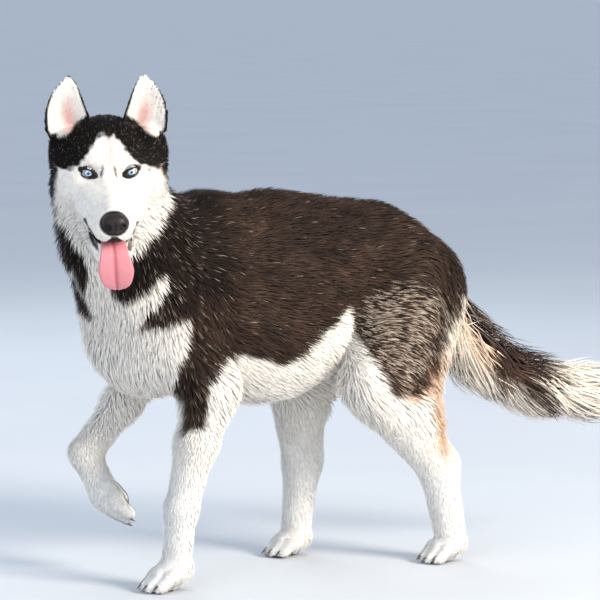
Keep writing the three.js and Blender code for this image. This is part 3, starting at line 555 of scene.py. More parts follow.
grid_x = steps(-400, 740, [(-170, 2.3), (740, 4.2)])
grid_y = steps(-300, 190, [(-40, 2.5), (190, 4.2)])
grid_z = steps(-4, 790, [(90, 3.2), (490, 4.4), (790, 2.4)])
skin_points, skin_quads = surface_net(skin_field, (grid_x, grid_y, grid_z))
skin_tris = np.vstack([skin_quads[:, [0, 1, 2]], skin_quads[:, [0, 2, 3]]])
skin_normals, skin_faces = normals_of(skin_points, skin_tris)
print("skin", len(skin_points), len(skin_tris))

# Camera-plane coordinates, in which the borders of the side's markings are drawn once and
# carried onto both sides of the body
VIEW_RIGHT = vec(0.866, -0.5, 0)
VIEW_BACK = vec(*CAMERA_BACK)
VIEW_UP = np.cross(VIEW_RIGHT, -VIEW_BACK)
VIEW_CENTRE = vec(156, 0, 418)


def seen_at(p):
    q = p - VIEW_CENTRE
    scale = FOCAL / (CAMERA_DISTANCE * 1000 - q @ VIEW_BACK)
    return FRAME / 2 + np.stack([q @ VIEW_RIGHT, -q @ VIEW_UP], 1) * scale[:, None]


def outline_distance(q, outline):
    """Distance to a closed outline in the plane, negative inside."""
    o = np.array(outline, float)
    best = np.full(len(q), 1e9)
    odd = np.zeros(len(q), bool)
    for a, b in zip(o, np.roll(o, -1, 0)):
        e = b - a
        t = np.clip((q - a) @ e / (e @ e), 0, 1)
        best = np.minimum(best, np.hypot(*(q - a - t[:, None] * e).T))
        cross = (a[1] > q[:, 1]) != (b[1] > q[:, 1])
        with np.errstate(divide="ignore", invalid="ignore"):
            at = a[0] + (q[:, 1] - a[1]) * e[0] / (e[1] if e[1] else 1)
        odd ^= cross & (q[:, 0] < at)
    return np.where(odd, -best, best)


def nearest_outline(q, *outlines):
    return np.minimum.reduce([outline_distance(q, o) for o in outlines])


SADDLE = [(166, 289), (159, 306), (148, 317), (136, 332), (165, 330), (190, 321), (191, 350), (182, 377),
          (173, 405), (170, 428), (182, 439), (203, 431), (209, 405), (217, 380), (229, 363), (243, 355),
          (265, 360), (282, 366), (300, 359), (317, 345), (332, 330), (342, 315), (350, 306), (357, 320),
          (361, 335), (374, 357), (386, 375), (397, 401), (415, 402), (425, 395), (435, 377), (446, 345),
          (454, 322), (463, 304), (520, 300), (640, 120), (120, 60), (165, 180), (168, 207), (162, 223),
          (154, 239), (142, 256), (166, 278)]
RIGHT_NECK = [(20, 100), (56, 160), (58.5, 168), (57, 184), (57, 204), (62, 220), (70, 235), (77, 247),
              (86, 257), (90, 270), (91, 284), (91, 294), (86, 291), (81, 280), (77, 272), (60, 268),
              (30, 260)]
RIGHT_STRIPE = [(64, 272), (80, 278), (84, 288), (89, 297), (94, 308), (99, 320), (92, 320), (85, 314),
                (76, 303), (64, 298)]
LIP_CORNERS = [[(84.3, 218), (85.7, 217.5), (89, 228), (95, 240), (99.5, 250), (97.5, 250), (92, 242),
                (87.3, 231)],
               [(136.6, 221), (140.2, 221.5), (139.6, 232), (136.6, 243), (132, 252), (127.6, 250),
                (131, 241), (134.5, 231)]]
BIB = [(168, 215), (140, 255), (118, 268), (111, 282), (115, 297), (125, 304), (136, 301), (148, 293),
       (157, 284), (170, 272)]
THIGH_PATCH = [(364, 330), (374, 302), (402, 292), (438, 300), (442, 330), (430, 370), (408, 396), (390, 376)]


def waves(p, scale, seed):
    """Smooth noise between -1 and 1 from a few turned waves."""
    local = np.random.default_rng(seed)
    total = np.zeros(len(p))
    for _ in range(7):
        way = unit(local.normal(size=3)) * (2 * math.pi / scale) * local.uniform(0.6, 1.6)
        total += np.sin(p @ way + local.uniform(0, 6.3))
    return total / 3.2


def colour(r, g, b):
    c = np.array([r, g, b]) / 255
    return np.where(c <= 0.04045, c / 12.92, ((c + 0.055) / 1.055) ** 2.4)


BLACK, UMBER, FROST = colour(16, 13, 14), colour(64, 48, 39), colour(190, 172, 154)
CREAM, WHITE, TAN = colour(244, 230, 210), colour(250, 246, 240), colour(204, 150, 108)
RIM, PINK, PADS = colour(20, 16, 16), colour(214, 150, 140), colour(48, 40, 38)

# Borders on the head: the cap's height by distance from the middle, and where the cheek ends by height
CAP_LINE = np.array([(0, 45), (10, 48), (19, 42), (28, 32), (35, 23), (42, 14), (49, 7), (60, 1), (74, -4),
                     (100, -8)])
CHEEK_DEPTH = np.array([(-140, 0), (-107, -20), (-90, -40), (-72, -60), (-40, -70), (-18, -62), (0, -56)])
CHEEK_WIDTH = np.array([(-160, 34), (-134, 36), (-124, 42), (-108, 53), (-89, 65), (-70, 74), (-55, 78),
                        (-20, 80), (0, 80)])
EAR_LOBE = np.array([(-30, 0.30), (-18, 0.17), (0, 0), (14, -0.10), (24, -0.09), (30, -0.02)])



def turned_to_left(p):
    """Points of the right side carried over to the left, about the plane that the neck bends to."""
    neck = rise(-p[:, 0], 70, 90) * rise(p[:, 2], 330, 90)
    a = np.radians(180 + 34 * neck)
    pivot = np.stack([-100 + 0 * neck, -25 * neck], 1)
    flat = p[:, :2] - pivot
    normal = np.stack([-np.sin(a), np.cos(a)], 1)
    off = (flat * normal).sum(1)
    out = p.copy()
    right = off < 0
    out[right, :2] -= 2 * off[right, None] * normal[right]
    return out, right


def markings(p, n, r):
    """Colour of the coat at each point: root colour, tip colour and how dark it is."""
    x, y, z = p.T
    h = to_head(p)
    u, v, w = h.T
    ahead, out_y, up = n.T
    head, legs = r["head"], r["leg"]
    jitter = 2.2 * waves(p, 34, 3)[:, None] * np.array([1, 0.6])
    left, right = turned_to_left(p)
    side = seen_at(left)
    q = side + jitter
    q[:, 0] += 8 * right * fall(q[:, 1], 330, 40) * rise(-x, 120, 60)
    own = seen_at(p) + 0.6 * jitter
    facing_out = rise(n @ VIEW_BACK, -0.12, 0.16)
    saddle_line = outline_distance(own, SADDLE)
    own_dark = ramp(0.5 - np.minimum(saddle_line, nearest_outline(own, BIB, RIGHT_NECK, RIGHT_STRIPE)) / 4)
    dark_line = nearest_outline(q, SADDLE, BIB)
    # Trunk and legs
    spine = ramp((z - 455 + 20 * ramp(-x / 60)) / 26) * rise(x, -60, 50)
    dark = np.maximum(ramp(0.5 - dark_line / 5.5), spine)
    inner = fall(out_y * np.where(y < 0, -1, 1), 0.25, 0.4)
    dark *= 1 - legs * inner * fall(z, 370, 50)
    dark *= 1 - fall(up, -0.62, 0.2) * fall(z, 380, 30)
    dark *= 1 - rise(y, 10, 20) * fall(z, 330, 30)
    dark = lerp(dark, own_dark, facing_out * rise(-x, 80, 30) * rise(z, 365, 30))
    nape = (1 - facing_out) * fall(w, -50, 14) * rise(z, 430, 30) * rise(-x, 20, 30)
    rump = rise(ahead, 0.15, 0.25) * rise(x, 300, 30) * rise(z + 10 * waves(p, 50, 14), 392, 40)
    dark = np.maximum(dark, np.maximum(nape, rump))
    rear = rise(ahead + 0.12 * waves(p, 34, 12), 0.58, 0.3) * rise(x, 330, 20)
    dark *= 1 - rear * fall(z - 12 * waves(p, 44, 13), 400, 60)
    # Tail
    t, _, _ = tail_place(p)
    upward = up + 0.1 * waves(p, 40, 6)
    tip = rise(t + 0.02 * waves(p, 30, 5), 0.565, 0.05)
    end = rise(t, 0.28, 0.3)
    on_tail = r["tail"] * rise(t, 0.09, 0.08)
    dark = lerp(dark, ramp((upward - lerp(0.16, -0.5, end)) / 0.3) * (1 - tip), on_tail)
    # Cap, cheeks and throat
    cap = v - height_on(CAP_LINE, np.abs(u) + 4 * ramp(u / 12)) + 2.2 * waves(p, 16, 9)
    beside = np.abs(u) - height_on(CHEEK_WIDTH, v) + 5 * (u < 0)
    behind = np.maximum(height_on(CHEEK_DEPTH, v) - w, beside * 1.4) + 2.5 * waves(p, 20, 10)
    cheek = lerp(ramp(0.5 + behind / 9), own_dark, facing_out * fall(v, 2, 8))
    head_dark = np.maximum(ramp(0.5 + cap / 6), cheek)
    head_dark = lerp(head_dark, dark, fall(v, -118, 16) * (1 - facing_out))
    dark = lerp(dark, head_dark, head)
    # Ears: dark backs and rims, and pale fronts whose lower edge the cap cuts off aslant
    et, eu, ehalf, ez = ear_place(h)
    facing = n @ HEAD[:, 2]
    on_ear = ((et > -0.04) & (np.abs(ez) < 9) & (np.abs(eu) < ehalf + 4) & (w < -34)).astype(float)
    inside_ear = (ez < 0.5) & (facing > -0.5)
    edge = np.maximum(np.abs(eu) / ehalf, 1 - (1 - et) * 6)
    lobe = ramp(0.5 + (et - height_on(EAR_LOBE, eu)) / 0.06)
    ear_dark = np.where(inside_ear, np.maximum(rise(edge, 0.82, 0.09), 1 - lobe), 1.0)
    dark = lerp(dark, ear_dark, on_ear)
    lobe_zone = (et > -0.2) & (et < 0.1) & (facing > 0.15) & (w > -74) & (w < -34) & (v > 22)
    dark *= 1 - lobe_zone * (1 - on_ear) * lobe * fall(np.abs(eu), 26, 4)
    # Dark hairs, browner on the flank
    brown = 0.5 + 0.42 * waves(p, 120, 21) + 0.42 * waves(p, 40, 22) + 0.3 * waves(p, 14, 23)
    flank, mane = fall(z, 520, 160) * (1 - head), rise(-x, -20, 70)
    tips = mix(UMBER * 0.55, UMBER * 1.35, np.clip(brown * 0.6 + flank * 0.5 - 0.3 * mane, 0, 1.3))
    tips = tips * lerp(1, 0.5, mane * rise(z, 400, 60))[:, None]
    thigh = rise(x, 190, 60) * fall(z, 430, 60) * (1 - r["tail"])
    tips = mix(tips, UMBER * 1.45, np.maximum(thigh * 0.6, legs * ramp(-x / 30) * 0.5))
    tips = mix(tips, UMBER * 0.09, head * 0.93)
    pale = mix(WHITE, CREAM, 0.35 * rise(z, 120, 100))
    pale = mix(pale, CREAM, 0.7 * rise(x, 300, 50) * rise(z, 140, 60))
    # Tan at the border of the thigh, the rear of the shank, the tail's side and the cheek
    band = about(dark_line, 3, 9) * rise(x, 255, 40) * rise(z, 175, 50) * fall(z, 350, 50)
    shank = about(side[:, 0] - (side[:, 1] - 400) * 0.16, 436, 9) * (y < 0)
    shank *= rise(x, 280, 30) * rise(z, 150, 50) * fall(z, 330, 40)
    low_cheek = rise(own[:, 1], 160, 8) * fall(own[:, 1], 205, 15)
    cheek_tan = 0.45 * head * facing_out * about(saddle_line, 0, 4) * low_cheek
    tan = np.maximum(band, shank) * (1 - r["tail"])
    tan = np.maximum.reduce([tan, 0.8 * on_tail * about(upward, 0.12, 0.3) * (1 - end), cheek_tan])
    pale, tips = mix(pale, TAN, tan * 0.75), mix(tips, TAN * 0.6, tan * 0.6)
    # Lines of the face, with a faint painted shade line down the middle of the forehead, and the bare look
    # inside the ears
    # Painted shade: a faint darker line down the middle of the forehead
    forehead_shade = 0.28 * about(u, 1, 6) * rise(v, 8, 14) * (w > -40)
    brow = ramp(1.3 - np.abs(np.abs(u + 2) - 10 + (v - 3) * 0.2) / 2.2) * ramp(1.4 - np.abs(v - 3) / 9)
    line = np.maximum(forehead_shade, 0.85 * brow * (w > -14)) * head
    corner = 0.9 * ramp(0.7 - nearest_outline(own, *LIP_CORNERS) / 1.2) * facing_out * head * (w > -50)
    hollow = np.maximum(on_ear * inside_ear, lobe_zone)
    pink = 0.75 * (1 - dark) * hollow * about(eu, -2, 15) * fall(et, 0.8, 0.6)
    looks = []
    for c in (mix(pale * 0.97, BLACK * 0.8, dark), mix(pale, tips, dark)):
        looks.append(mix(mix(mix(c, UMBER, line), PINK, pink), RIM, corner))
    return looks[0], looks[1], dark


def bare(p, n, r):
    """Where no fur grows: the lids, lips, mouth, sockets and nose's seat, and the soles. 1 is bare."""
    h = to_head(p)
    socket = np.linalg.norm(eye_local(h) - vec(0, 0, EYE_DEPTH), axis=1)
    face = [fall(lid_distance(h), 4.6, 1.2), fall(lip_distance(h), 5.4, 1.2), fall(mouth_form(h), 3, 2),
            fall(ball((0, -43, 87), (20, 17, 17))(h), 3, 3), fall(socket, EYE_RADIUS + 2.5, 1.5)]
    sole = np.zeros(len(p))
    for leg in LEGS.values():
        _, _, under, _ = paw_places(leg)
        off = p - leg["foot"]
        near = np.linalg.norm(off, axis=1) < 78
        sole = np.maximum(sole, near * rise(n @ under, 0.62, 0.2) * rise(off @ under, 12, 8))
    return np.maximum.reduce(face) * (r["head"] > 0.5), sole


skin_regions = regions(skin_points)
skin_root, skin_tip, _ = markings(skin_points, skin_normals, skin_regions)
face_bare, sole_bare = bare(skin_points, skin_normals, skin_regions)
short_coat = np.maximum(skin_regions["leg"] * fall(skin_points[:, 2], 300, 60), skin_regions["head"])
skin_colour = mix(skin_root, skin_tip, 0.35 + 0.5 * short_coat)
skin_colour = mix(skin_colour, RIM, face_bare)
skin_colour = mix(skin_colour, PADS, sole_bare)


# Unwrap of the skin: round each part's own middle line, laid out in boxes of left, low, width and height
BOXES = np.array([(0.01, 0.42, 0.98, 0.57), (0.01, 0.22, 0.56, 0.19), (0.58, 0.22, 0.41, 0.19)]
                 + [(left, 0.01, 0.23, 0.20) for left in (0.01, 0.26, 0.51, 0.76)])


def turn_share(a, b):
    return np.arctan2(a, b) / (2 * math.pi) + 0.5


def unwrap(p, r):
    """UV of each point: seven charts of the angle round a middle line by the length along it."""
    x, y, z = p.T
    h = to_head(p)
    t, _, _ = tail_place(p)
    chart = np.zeros(len(p), int)
    u, v = turn_share(y, z - 420), (x + 260) / 660

    def lay(number, m, angle, along):
        chart[m], u[m], v[m] = number, angle[m], along[m]

    lay(1, r["head"] > 0.5, turn_share(h[:, 0], h[:, 1] + 30), (h[:, 2] + 130) / 250)
    bone = [np.interp(t, np.linspace(0, 1, len(TAIL)), TAIL[:, k]) for k in range(3)]
    lay(2, r["tail"] > 0.5, turn_share(y - bone[1], z - bone[2]), t)
    for i, (name, leg) in enumerate(LEGS.items()):
        own = np.minimum(leg_forms[name][0](p), leg_forms[name][1](p))
        m = (r["leg"] > 0.5) & (own < np.minimum(r["legs"], r["paws"]) + 1e-6) & (chart == 0)
        line = np.array([leg["top"], leg["bend"], leg["low"], leg["foot"], leg["foot"] - vec(0, 0, 45)])
        line = line[np.argsort(line[:, 2])]
        middle_x, middle_y = [np.interp(z, line[:, 2], line[:, k]) for k in range(2)]
        lay(3 + i, m, turn_share(y - middle_y, x - middle_x), z / 420)
    b = BOXES[chart]
    return b[:, :2] + np.clip(np.stack([u, v], 1), 0, 1) * b[:, 2:]


# Materials
def principled(name, **values):
    mat = bpy.data.materials.new(name)
    mat.use_nodes = True
    node = mat.node_tree.nodes["Principled BSDF"]
    for key, value in values.items():
        node.inputs[key.replace("_", " ")].default_value = value
    return mat, node, mat.node_tree


def add_node(tree, kind, **values):
    node = tree.nodes.new("ShaderNode" + kind)
    for key, value in values.items():
        node.inputs[key.replace("_", " ")].default_value = value
    return node


def noise_node(tree, scale):
    noise = add_node(tree, "TexNoise", Scale=scale, Detail=3.0, Roughness=0.55)
    tree.links.new(add_node(tree, "TexCoord").outputs["Object"], noise.inputs["Vector"])
    return noise


def add_bump(tree, node, source, strength):
    bump = add_node(tree, "Bump", Strength=strength, Distance=0.0006)
    tree.links.new(source, bump.inputs["Height"])
    tree.links.new(bump.outputs["Normal"], node.inputs["Normal"])


def coloured(name, noise_scale, low, high, bump=0.0, **values):
    """A material whose colour is the piece's own Col attribute, varied by noise."""
    mat, node, tree = principled(name, **values)
    attribute = add_node(tree, "Attribute")
    attribute.attribute_name = "Col"
    noise = noise_node(tree, noise_scale)
    span = add_node(tree, "MapRange", From_Min=0.3, From_Max=0.7, To_Min=low, To_Max=high)
    tree.links.new(noise.outputs["Fac"], span.inputs["Value"])
    varied = add_node(tree, "VectorMath")
    varied.operation = "SCALE"
    tree.links.new(attribute.outputs["Color"], varied.inputs[0])
    tree.links.new(span.outputs["Result"], varied.inputs["Scale"])
    tree.links.new(varied.outputs["Vector"], node.inputs["Base Color"])
    if bump:
        add_bump(tree, node, noise.outputs["Fac"], bump)
    return mat


def two_tone(name, noise_scale, first, second, roughness):
    """A material that wanders between two colours."""
    mat, node, tree = principled(name, Roughness=roughness)
    span = add_node(tree, "ValToRGB")
    span.color_ramp.elements[0].color = (*first, 1)
    span.color_ramp.elements[1].color = (*second, 1)
    tree.links.new(noise_node(tree, noise_scale).outputs["Fac"], span.inputs["Fac"])
    tree.links.new(span.outputs["Color"], node.inputs["Base Color"])
    return mat


skin_material = coloured("skin_coat", 700, 0.95, 1.04, bump=0.35, Roughness=0.62, Specular_IOR_Level=0.3)
fur_material = coloured("fur", 160, 0.88, 1.12, Roughness=0.7, Specular_IOR_Level=0.12)


def make_mesh(name, points, faces, material, colours=None, uv=None):
    """A mesh object from millimetre points; faces is an array of equal-sided faces."""
    mesh = bpy.data.meshes.new(name)
    sides = faces.shape[1]
    mesh.vertices.add(len(points))
    mesh.vertices.foreach_set("co", ((points + SHIFT) / 1000).astype(np.float32).ravel())
    mesh.loops.add(faces.size)
    mesh.loops.foreach_set("vertex_index", faces.astype(np.int32).ravel())
    mesh.polygons.add(len(faces))
    mesh.polygons.foreach_set("loop_start", (np.arange(len(faces)) * sides).astype(np.int32))
    mesh.polygons.foreach_set("use_smooth", np.full(len(faces), True))
    if uv is not None:
        layer = mesh.uv_layers.new(name="OFBake")
        layer.data.foreach_set("uv", uv.astype(np.float32).ravel())
    if colours is not None:
        attribute = mesh.attributes.new("Col", "FLOAT_COLOR", "POINT")
        rgba = np.ones((len(points), 4), np.float32)
        rgba[:, :3] = np.clip(colours, 0, 1)
        attribute.data.foreach_set("color", rgba.ravel())
    mesh.update()
    mesh.validate()
    mesh.materials.append(material)
    piece = bpy.data.objects.new(name, mesh)
    bpy.context.scene.collection.objects.link(piece)
    return piece


def settle(piece, slot, *nodes):
    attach(piece, "root")
    if nodes:
        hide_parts(*nodes)


skin_uv = unwrap(skin_points, skin_regions)
corner_uv = skin_uv[skin_quads]
wide = corner_uv[:, :, 0].max(1) - corner_uv[:, :, 0].min(1)
tall = corner_uv[:, :, 1].max(1) - corner_uv[:, :, 1].min(1)
torn = (wide > 0.06) | (tall > 0.05)
corner_uv[torn] = corner_uv[torn][:, :1]
skin = make_mesh("skin", skin_points, skin_quads, skin_material, skin_colour, corner_uv.reshape(-1, 2))
settle(skin, "coat_light", "torso", "neck", "head", "ear_left", "ear_right", "foreleg_left", "foreleg_right",
       "hindleg_left", "hindleg_right", "thigh_left", "thigh_right", "tail")


# Fur: the share of its length times width that a blade covers
BLADE_FILL = 0.62


def lie_of(p, n, r):
    """The way the coat lies on the skin at each point, and which points are on an ear."""
    x, _, z = p.T
    h = to_head(p)
    u, v, w = h.T
    s, up = np.sign(u), n[:, 2]
    down = unit(-0.75 * unit(NECK_TOP - NECK_BASE) + vec(0, 0, -0.65))
    neck_way = mix(down, vec(1, 0.25, -0.3), rise(up, 0.25, 0.5))
    leg_way = np.where((x < 60)[:, None], vec(0.22, 0, -1), vec(0.45, 0, -1))
    t, _, run = tail_place(p)
    hang = 0.12 + 0.55 * fall(up, 0.2, 0.9) * fall(t, 0.8, 0.4)
    way = vec(1, 0, -0.10)
    for own, weight in ((vec(0.85, 0, -0.5), fall(z, 420, 90)),
                        (vec(0.45, 0, -0.9), rise(-x, -10, 80) * fall(z, 520, 80)),
                        (neck_way, rise(-x, 60, 70) * rise(z, 400, 60)),
                        (vec(0.05, 0, -1), rise(-x, 110, 40) * fall(z, 460, 50)),
                        (vec(0.3, 0, -1), rise(x, 270, 70)),
                        (leg_way, r["leg"]),
                        (vec(-1, 0, -0.5), r["paw"] * r["leg"]),
                        (run - hang[:, None] * vec(0, 0, 1), r["tail"])):
        way = mix(way, own, weight)

    def sided(a, b, c):
        return np.stack([a * s, b + 0 * s, c + 0 * s], 1)
    face = sided(0.5 * rise(np.abs(u), 4, 20), 0.05, -1)
    face = mix(face, sided(0.18, 0.8, -0.7), rise(v, 2, 26))
    face = mix(face, vec(0, 0.15, -1), fall(w, -20, 40) * rise(v, 20, 20))
    face = mix(face, sided(0.35, -0.85, -0.55), fall(w, -2, 40) * fall(v, 6, 30))
    et, eu, ehalf, ez = ear_place(h)
    on_ear = (et > -0.3) & (np.abs(ez) < 12) & (np.abs(eu) < ehalf + 5) & (v > 24)
    face = np.where(on_ear[:, None], vec(0, 1, 0), face)
    way = mix(way, face @ HEAD.T, r["head"])
    return unit(way - (way * n).sum(1)[:, None] * n), on_ear & (r["head"] > 0.5)


def coat_size(p, r, on_ear):
    """Length and width of a tuft and how many grow on a square millimetre."""
    x, _, z = p.T
    h = to_head(p)
    u, v, w = h.T
    legs, head = r["leg"], r["head"]
    t, _, _ = tail_place(p)
    back, low, knee = fall(w, -14, 50), fall(v, 14, 50), rise(z, 200, 110)
    front = rise(-x, 40, 60) * rise(z, 340, 60)
    length, width = 25 - 4 * front, 1.65 - 0.15 * front
    length += 18 * rise(x, 305, 50) * rise(z, 230, 60) * fall(z, 480, 60)
    length += 5 * fall(z, 330, 40) * rise(x, -30, 60)
    for long, wide, weight in ((9 + 15 * knee, 1.3 + 0.5 * knee, legs),
                               (6.5, 1.2, r["paw"] * legs),
                               (84 - 14 * t, 2.2, r["tail"] * ramp(t / 0.1)),
                               (5 + back * (4 + 8 * low), 1.05 + back * (0.25 + 0.35 * low), head)):
        length, width = lerp(length, long, weight), lerp(width, wide, weight)
    length = lerp(length, 5, rise(v, 18, 10) * rise(np.abs(u), 22, 10) * head * (w > -80))
    length = lerp(length, 4.2, fall(lip_distance(h), 38, 14) * head)
    length = lerp(length, 2.4, fall(lid_distance(h), 11, 4) * head)
    length, width = np.where(on_ear, 5, length), np.where(on_ear, 1.1, width)
    layers = lerp(2.74, 1.9, np.maximum(legs * fall(z, 300, 60), head * (1 - 0.5 * back)))
    return length, width, layers / (length * width * BLADE_FILL)


def rooted(count_scale):
    """Root places spread evenly over the skin by the coat's own density."""
    tri = skin_tris
    mid = skin_points[tri].mean(1)
    area = np.linalg.norm(skin_faces, axis=1) / 2
    r = {k: v[tri].mean(1) for k, v in skin_regions.items()}
    _, on_ear = lie_of(mid, unit(skin_faces), r)
    _, _, per_area = coat_size(mid, r, on_ear)
    no_fur = np.maximum(face_bare, sole_bare)[tri].mean(1)
    weight = area * per_area * (no_fur < 0.3) * (mid[:, 2] > FLOOR + 3) * count_scale
    edges = np.cumsum(weight)
    order = np.arange(int(edges[-1])) + rng.random(int(edges[-1]))
    pick = np.clip(np.searchsorted(edges, order), 0, len(tri) - 1)
    a, b = rng.random(len(pick)), rng.random(len(pick))
    flip = a + b > 1
    a[flip], b[flip] = 1 - a[flip], 1 - b[flip]
    w = np.stack([1 - a - b, a, b], 1)
    corners = tri[pick]
    p = (skin_points[corners] * w[:, :, None]).sum(1)
    n = unit((skin_normals[corners] * w[:, :, None]).sum(1))
    return p, n


def gradient(p, d):
    """The way out of the skin at points whose distance to it is d."""
    return unit(np.stack([skin_field(p + step) - d for step in 1.5 * np.eye(3)], 1))


roots, root_normals = rooted(1.0)
root_regions = regions(roots)
lie, on_ear = lie_of(roots, root_normals, root_regions)
length, width, _ = coat_size(roots, root_regions, on_ear)
count = len(roots)
print("tufts", count)
wander = 0.12 * waves(roots, 60, 31) + 0.10 * waves(roots, 18, 32) + rng.normal(0, 0.08, count)
lie = unit(lie + np.cross(root_normals, lie) * wander[:, None])
length = length * rng.uniform(0.72, 1.2, count)
width = width * rng.uniform(0.75, 1.25, count) * 1.0
depth = coat_depth(roots, root_regions)
depth = np.where(on_ear, 1.2, depth) * lerp(rng.uniform(0.5, 1.15, count), rng.uniform(0.75, 1.35, count),
                                            root_regions["tail"])
depth = depth * (1 + 0.10 * waves(roots, 40, 33))
seen_part = roots + lie * (length * 0.82)[:, None] + root_normals * (depth * 0.3)[:, None]
seen_part = np.where(on_ear[:, None], roots, seen_part)
root_colour, tip_colour, root_dark = markings(seen_part, root_normals, regions(seen_part))
shade = rng.normal(1, 0.24, count) + 0.2 * waves(roots, 26, 41)
frost_zone = 0.012 + rise(-roots[:, 0], 20, 80) * (1 - root_regions["head"] * 0.6) * 0.09
patch = outline_distance(seen_at(turned_to_left(seen_part)[0]), THIGH_PATCH)
patch_zone = ramp(0.6 - patch / 34) * (seen_part[:, 0] > 180)
patch_zone = np.clip(patch_zone * (0.86 + 0.25 * waves(roots, 34, 51)), 0, 1)
frost_zone += patch_zone * 0.72
length *= 1 - 0.35 * patch_zone
frosted = (rng.random(count) < frost_zone) & (root_dark > 0.5)
frost = frosted * rng.uniform(0.35, 0.95, count)
shade = 1 + (np.clip(shade, 0.4, 1.9) - 1) * (1 - 0.6 * root_regions["head"]) * (0.22 + 0.78 * root_dark)
tip_colour = tip_colour * shade[:, None]
root_colour = root_colour * lerp(1, shade, 0.5)[:, None]
root_uv = unwrap(roots, root_regions)

# Stages along a blade, its share of the full width at each but the tip, its root's depth and its UV size
BRUSH_STAGES, BRUSH_SHARES = np.array([0.0, 0.36, 0.72, 1.0]), np.array([0.7, 1.0, 0.8])
STAGES, SHARES = np.array([0.0, 0.52, 1.0]), np.array([0.8, 1.0])
ROOT_DEPTH = 1.2
UV_SIZE = 0.003


def grow(pick, stages, shares, march):
    """Blades for the picked roots: rings of three points, a tip, and a cap under the root."""
    p, n, way = roots[pick], root_normals[pick], lie[pick]
    rings, colours, shading = [], [], []
    for i, stage in enumerate(stages):
        if i:
            p = p + way * (length[pick] * (stage - stages[i - 1]))[:, None]
            if march:
                d = skin_field(p)
                n = gradient(p, d)
                p = p - n * np.clip(d, -14, 14)[:, None]
                way = unit(way - (way * n).sum(1)[:, None] * n)
        c = p + n * (-ROOT_DEPTH + (depth[pick] + ROOT_DEPTH) * stage ** 0.55)[:, None]
        tone = lerp(root_colour[pick], tip_colour[pick], min(1, stage * 1.25))
        tone = mix(tone, FROST, frost[pick] * np.clip(stage * 2 - 1 + patch_zone[pick], 0, 1))
        if i < len(shares):
            side = unit(np.cross(n, way))
            w = (width[pick] * shares[i] / 2)[:, None]
            rings.append(np.stack([c - side * w, c + n * w * 0.55, c + side * w], 1))
            colours.append(np.repeat(tone[:, None], 3, 1))
            shading.append(np.stack([n - side * 0.5, n, n + side * 0.5], 1))
        else:
            rings.append(c[:, None])
            colours.append(tone[:, None])
            shading.append((n + way * 0.2)[:, None])
    points = np.concatenate(rings, 1)
    tones = np.concatenate(colours, 1)
    soft = unit(np.concatenate(shading, 1))
    k = points.shape[1]
    faces = [(0, 1, 2)]
    for i in range(len(shares) - 1):
        for j in range(3):
            a, b = i * 3 + j, i * 3 + (j + 1) % 3
            faces += [(a, b + 3, b), (a, a + 3, b + 3)]
    last = (len(shares) - 1) * 3
    for j in range(3):
        faces.append((last + j, k - 1, last + (j + 1) % 3))
    faces = np.array(faces)
    local = np.stack([np.tile([-0.5, 0, 0.5], len(shares)), np.repeat(stages[:-1] - 0.5, 3)], 1)
    local = np.vstack([local, [0, 0.5]]) * UV_SIZE
    all_faces = (faces[None] + (np.arange(len(pick)) * k)[:, None, None]).reshape(-1, 3)
    uv = np.clip(root_uv[pick][:, None] + local[None], 0.001, 0.999).reshape(-1, 2)
    return points.reshape(-1, 3), all_faces, tones.reshape(-1, 3), uv, soft.reshape(-1, 3)


def part_of(pick):
    """Name of the part that each picked tuft grows on."""
    names = np.full(len(pick), "body", dtype=object)
    r = root_regions
    names[r["leg"][pick] > 0.5] = "legs"
    names[(roots[pick][:, 0] < -60) & (r["leg"][pick] <= 0.5)] = "neck"
    names[r["tail"][pick] > 0.5] = "tail"
    names[r["head"][pick] > 0.5] = "head"
    return names


PIECE_LIMIT = 190000
coat_tris = 0
brush, short = root_regions["tail"] > 0.5, length < 17
for kind, mask, stages, shares in (("short", short & ~brush, STAGES, SHARES),
                                   ("long", ~short & ~brush, STAGES, SHARES),
                                   ("brush", brush, BRUSH_STAGES, BRUSH_SHARES)):
    chosen = np.flatnonzero(mask)
    names = part_of(chosen)
    per_tuft = 4 + 6 * (len(shares) - 1)
    for name in ("body", "neck", "head", "legs", "tail"):
        group = chosen[names == name]
        if len(group) == 0:
            continue
        for k, some in enumerate(np.array_split(group, math.ceil(len(group) * per_tuft / PIECE_LIMIT))):
            points, faces, tones, uv, soft = grow(some, stages, shares, kind != "short")
            points[:, 2] = np.maximum(points[:, 2], FLOOR + 0.5)
            label = "coat_%s_%s_%d" % (name, kind, k)
            piece = make_mesh(label, points, faces, fur_material, tones, uv[faces.ravel()])
            piece.data.normals_split_custom_set_from_vertices(soft)
            settle(piece, "coat_dark" if name in ("body", "neck") else "coat_light")
            coat_tris += len(faces)
print("coat triangles", coat_tris)

# Eyes, nose, tongue and claws: nets of rings
def ring_net(rows, around):
    """Quads between rings of points, in the order of the rings."""
    i, j = [k.ravel() for k in np.meshgrid(np.arange(rows - 1), np.arange(around), indexing="ij")]
    a, b = i * around + j, i * around + (j + 1) % around
    return np.stack([a, a + around, b + around, b], 1)


def turned_out(quads):
    return np.vstack([quads[:, [0, 3, 2]], quads[:, [0, 2, 1]]])


def circle(around):
    return [2 * math.pi * j / around for j in range(around)]


def eye_tone(reach, b):
    """Colour of the eye at a distance from the pupil's middle, b round it."""
    if reach < PUPIL:
        return colour(14, 14, 18)
    if reach < PUPIL + 0.5:
        return colour(70, 96, 126)
    if reach < IRIS - 0.9:
        return lerp(colour(158, 192, 220), colour(208, 226, 238), 0.5 + 0.5 * math.sin(b * 17 + reach * 1.3))
    if reach < IRIS:
        return colour(66, 92, 122)
    return colour(196, 190, 186) * (0.8 if reach < 9 else 0.5)


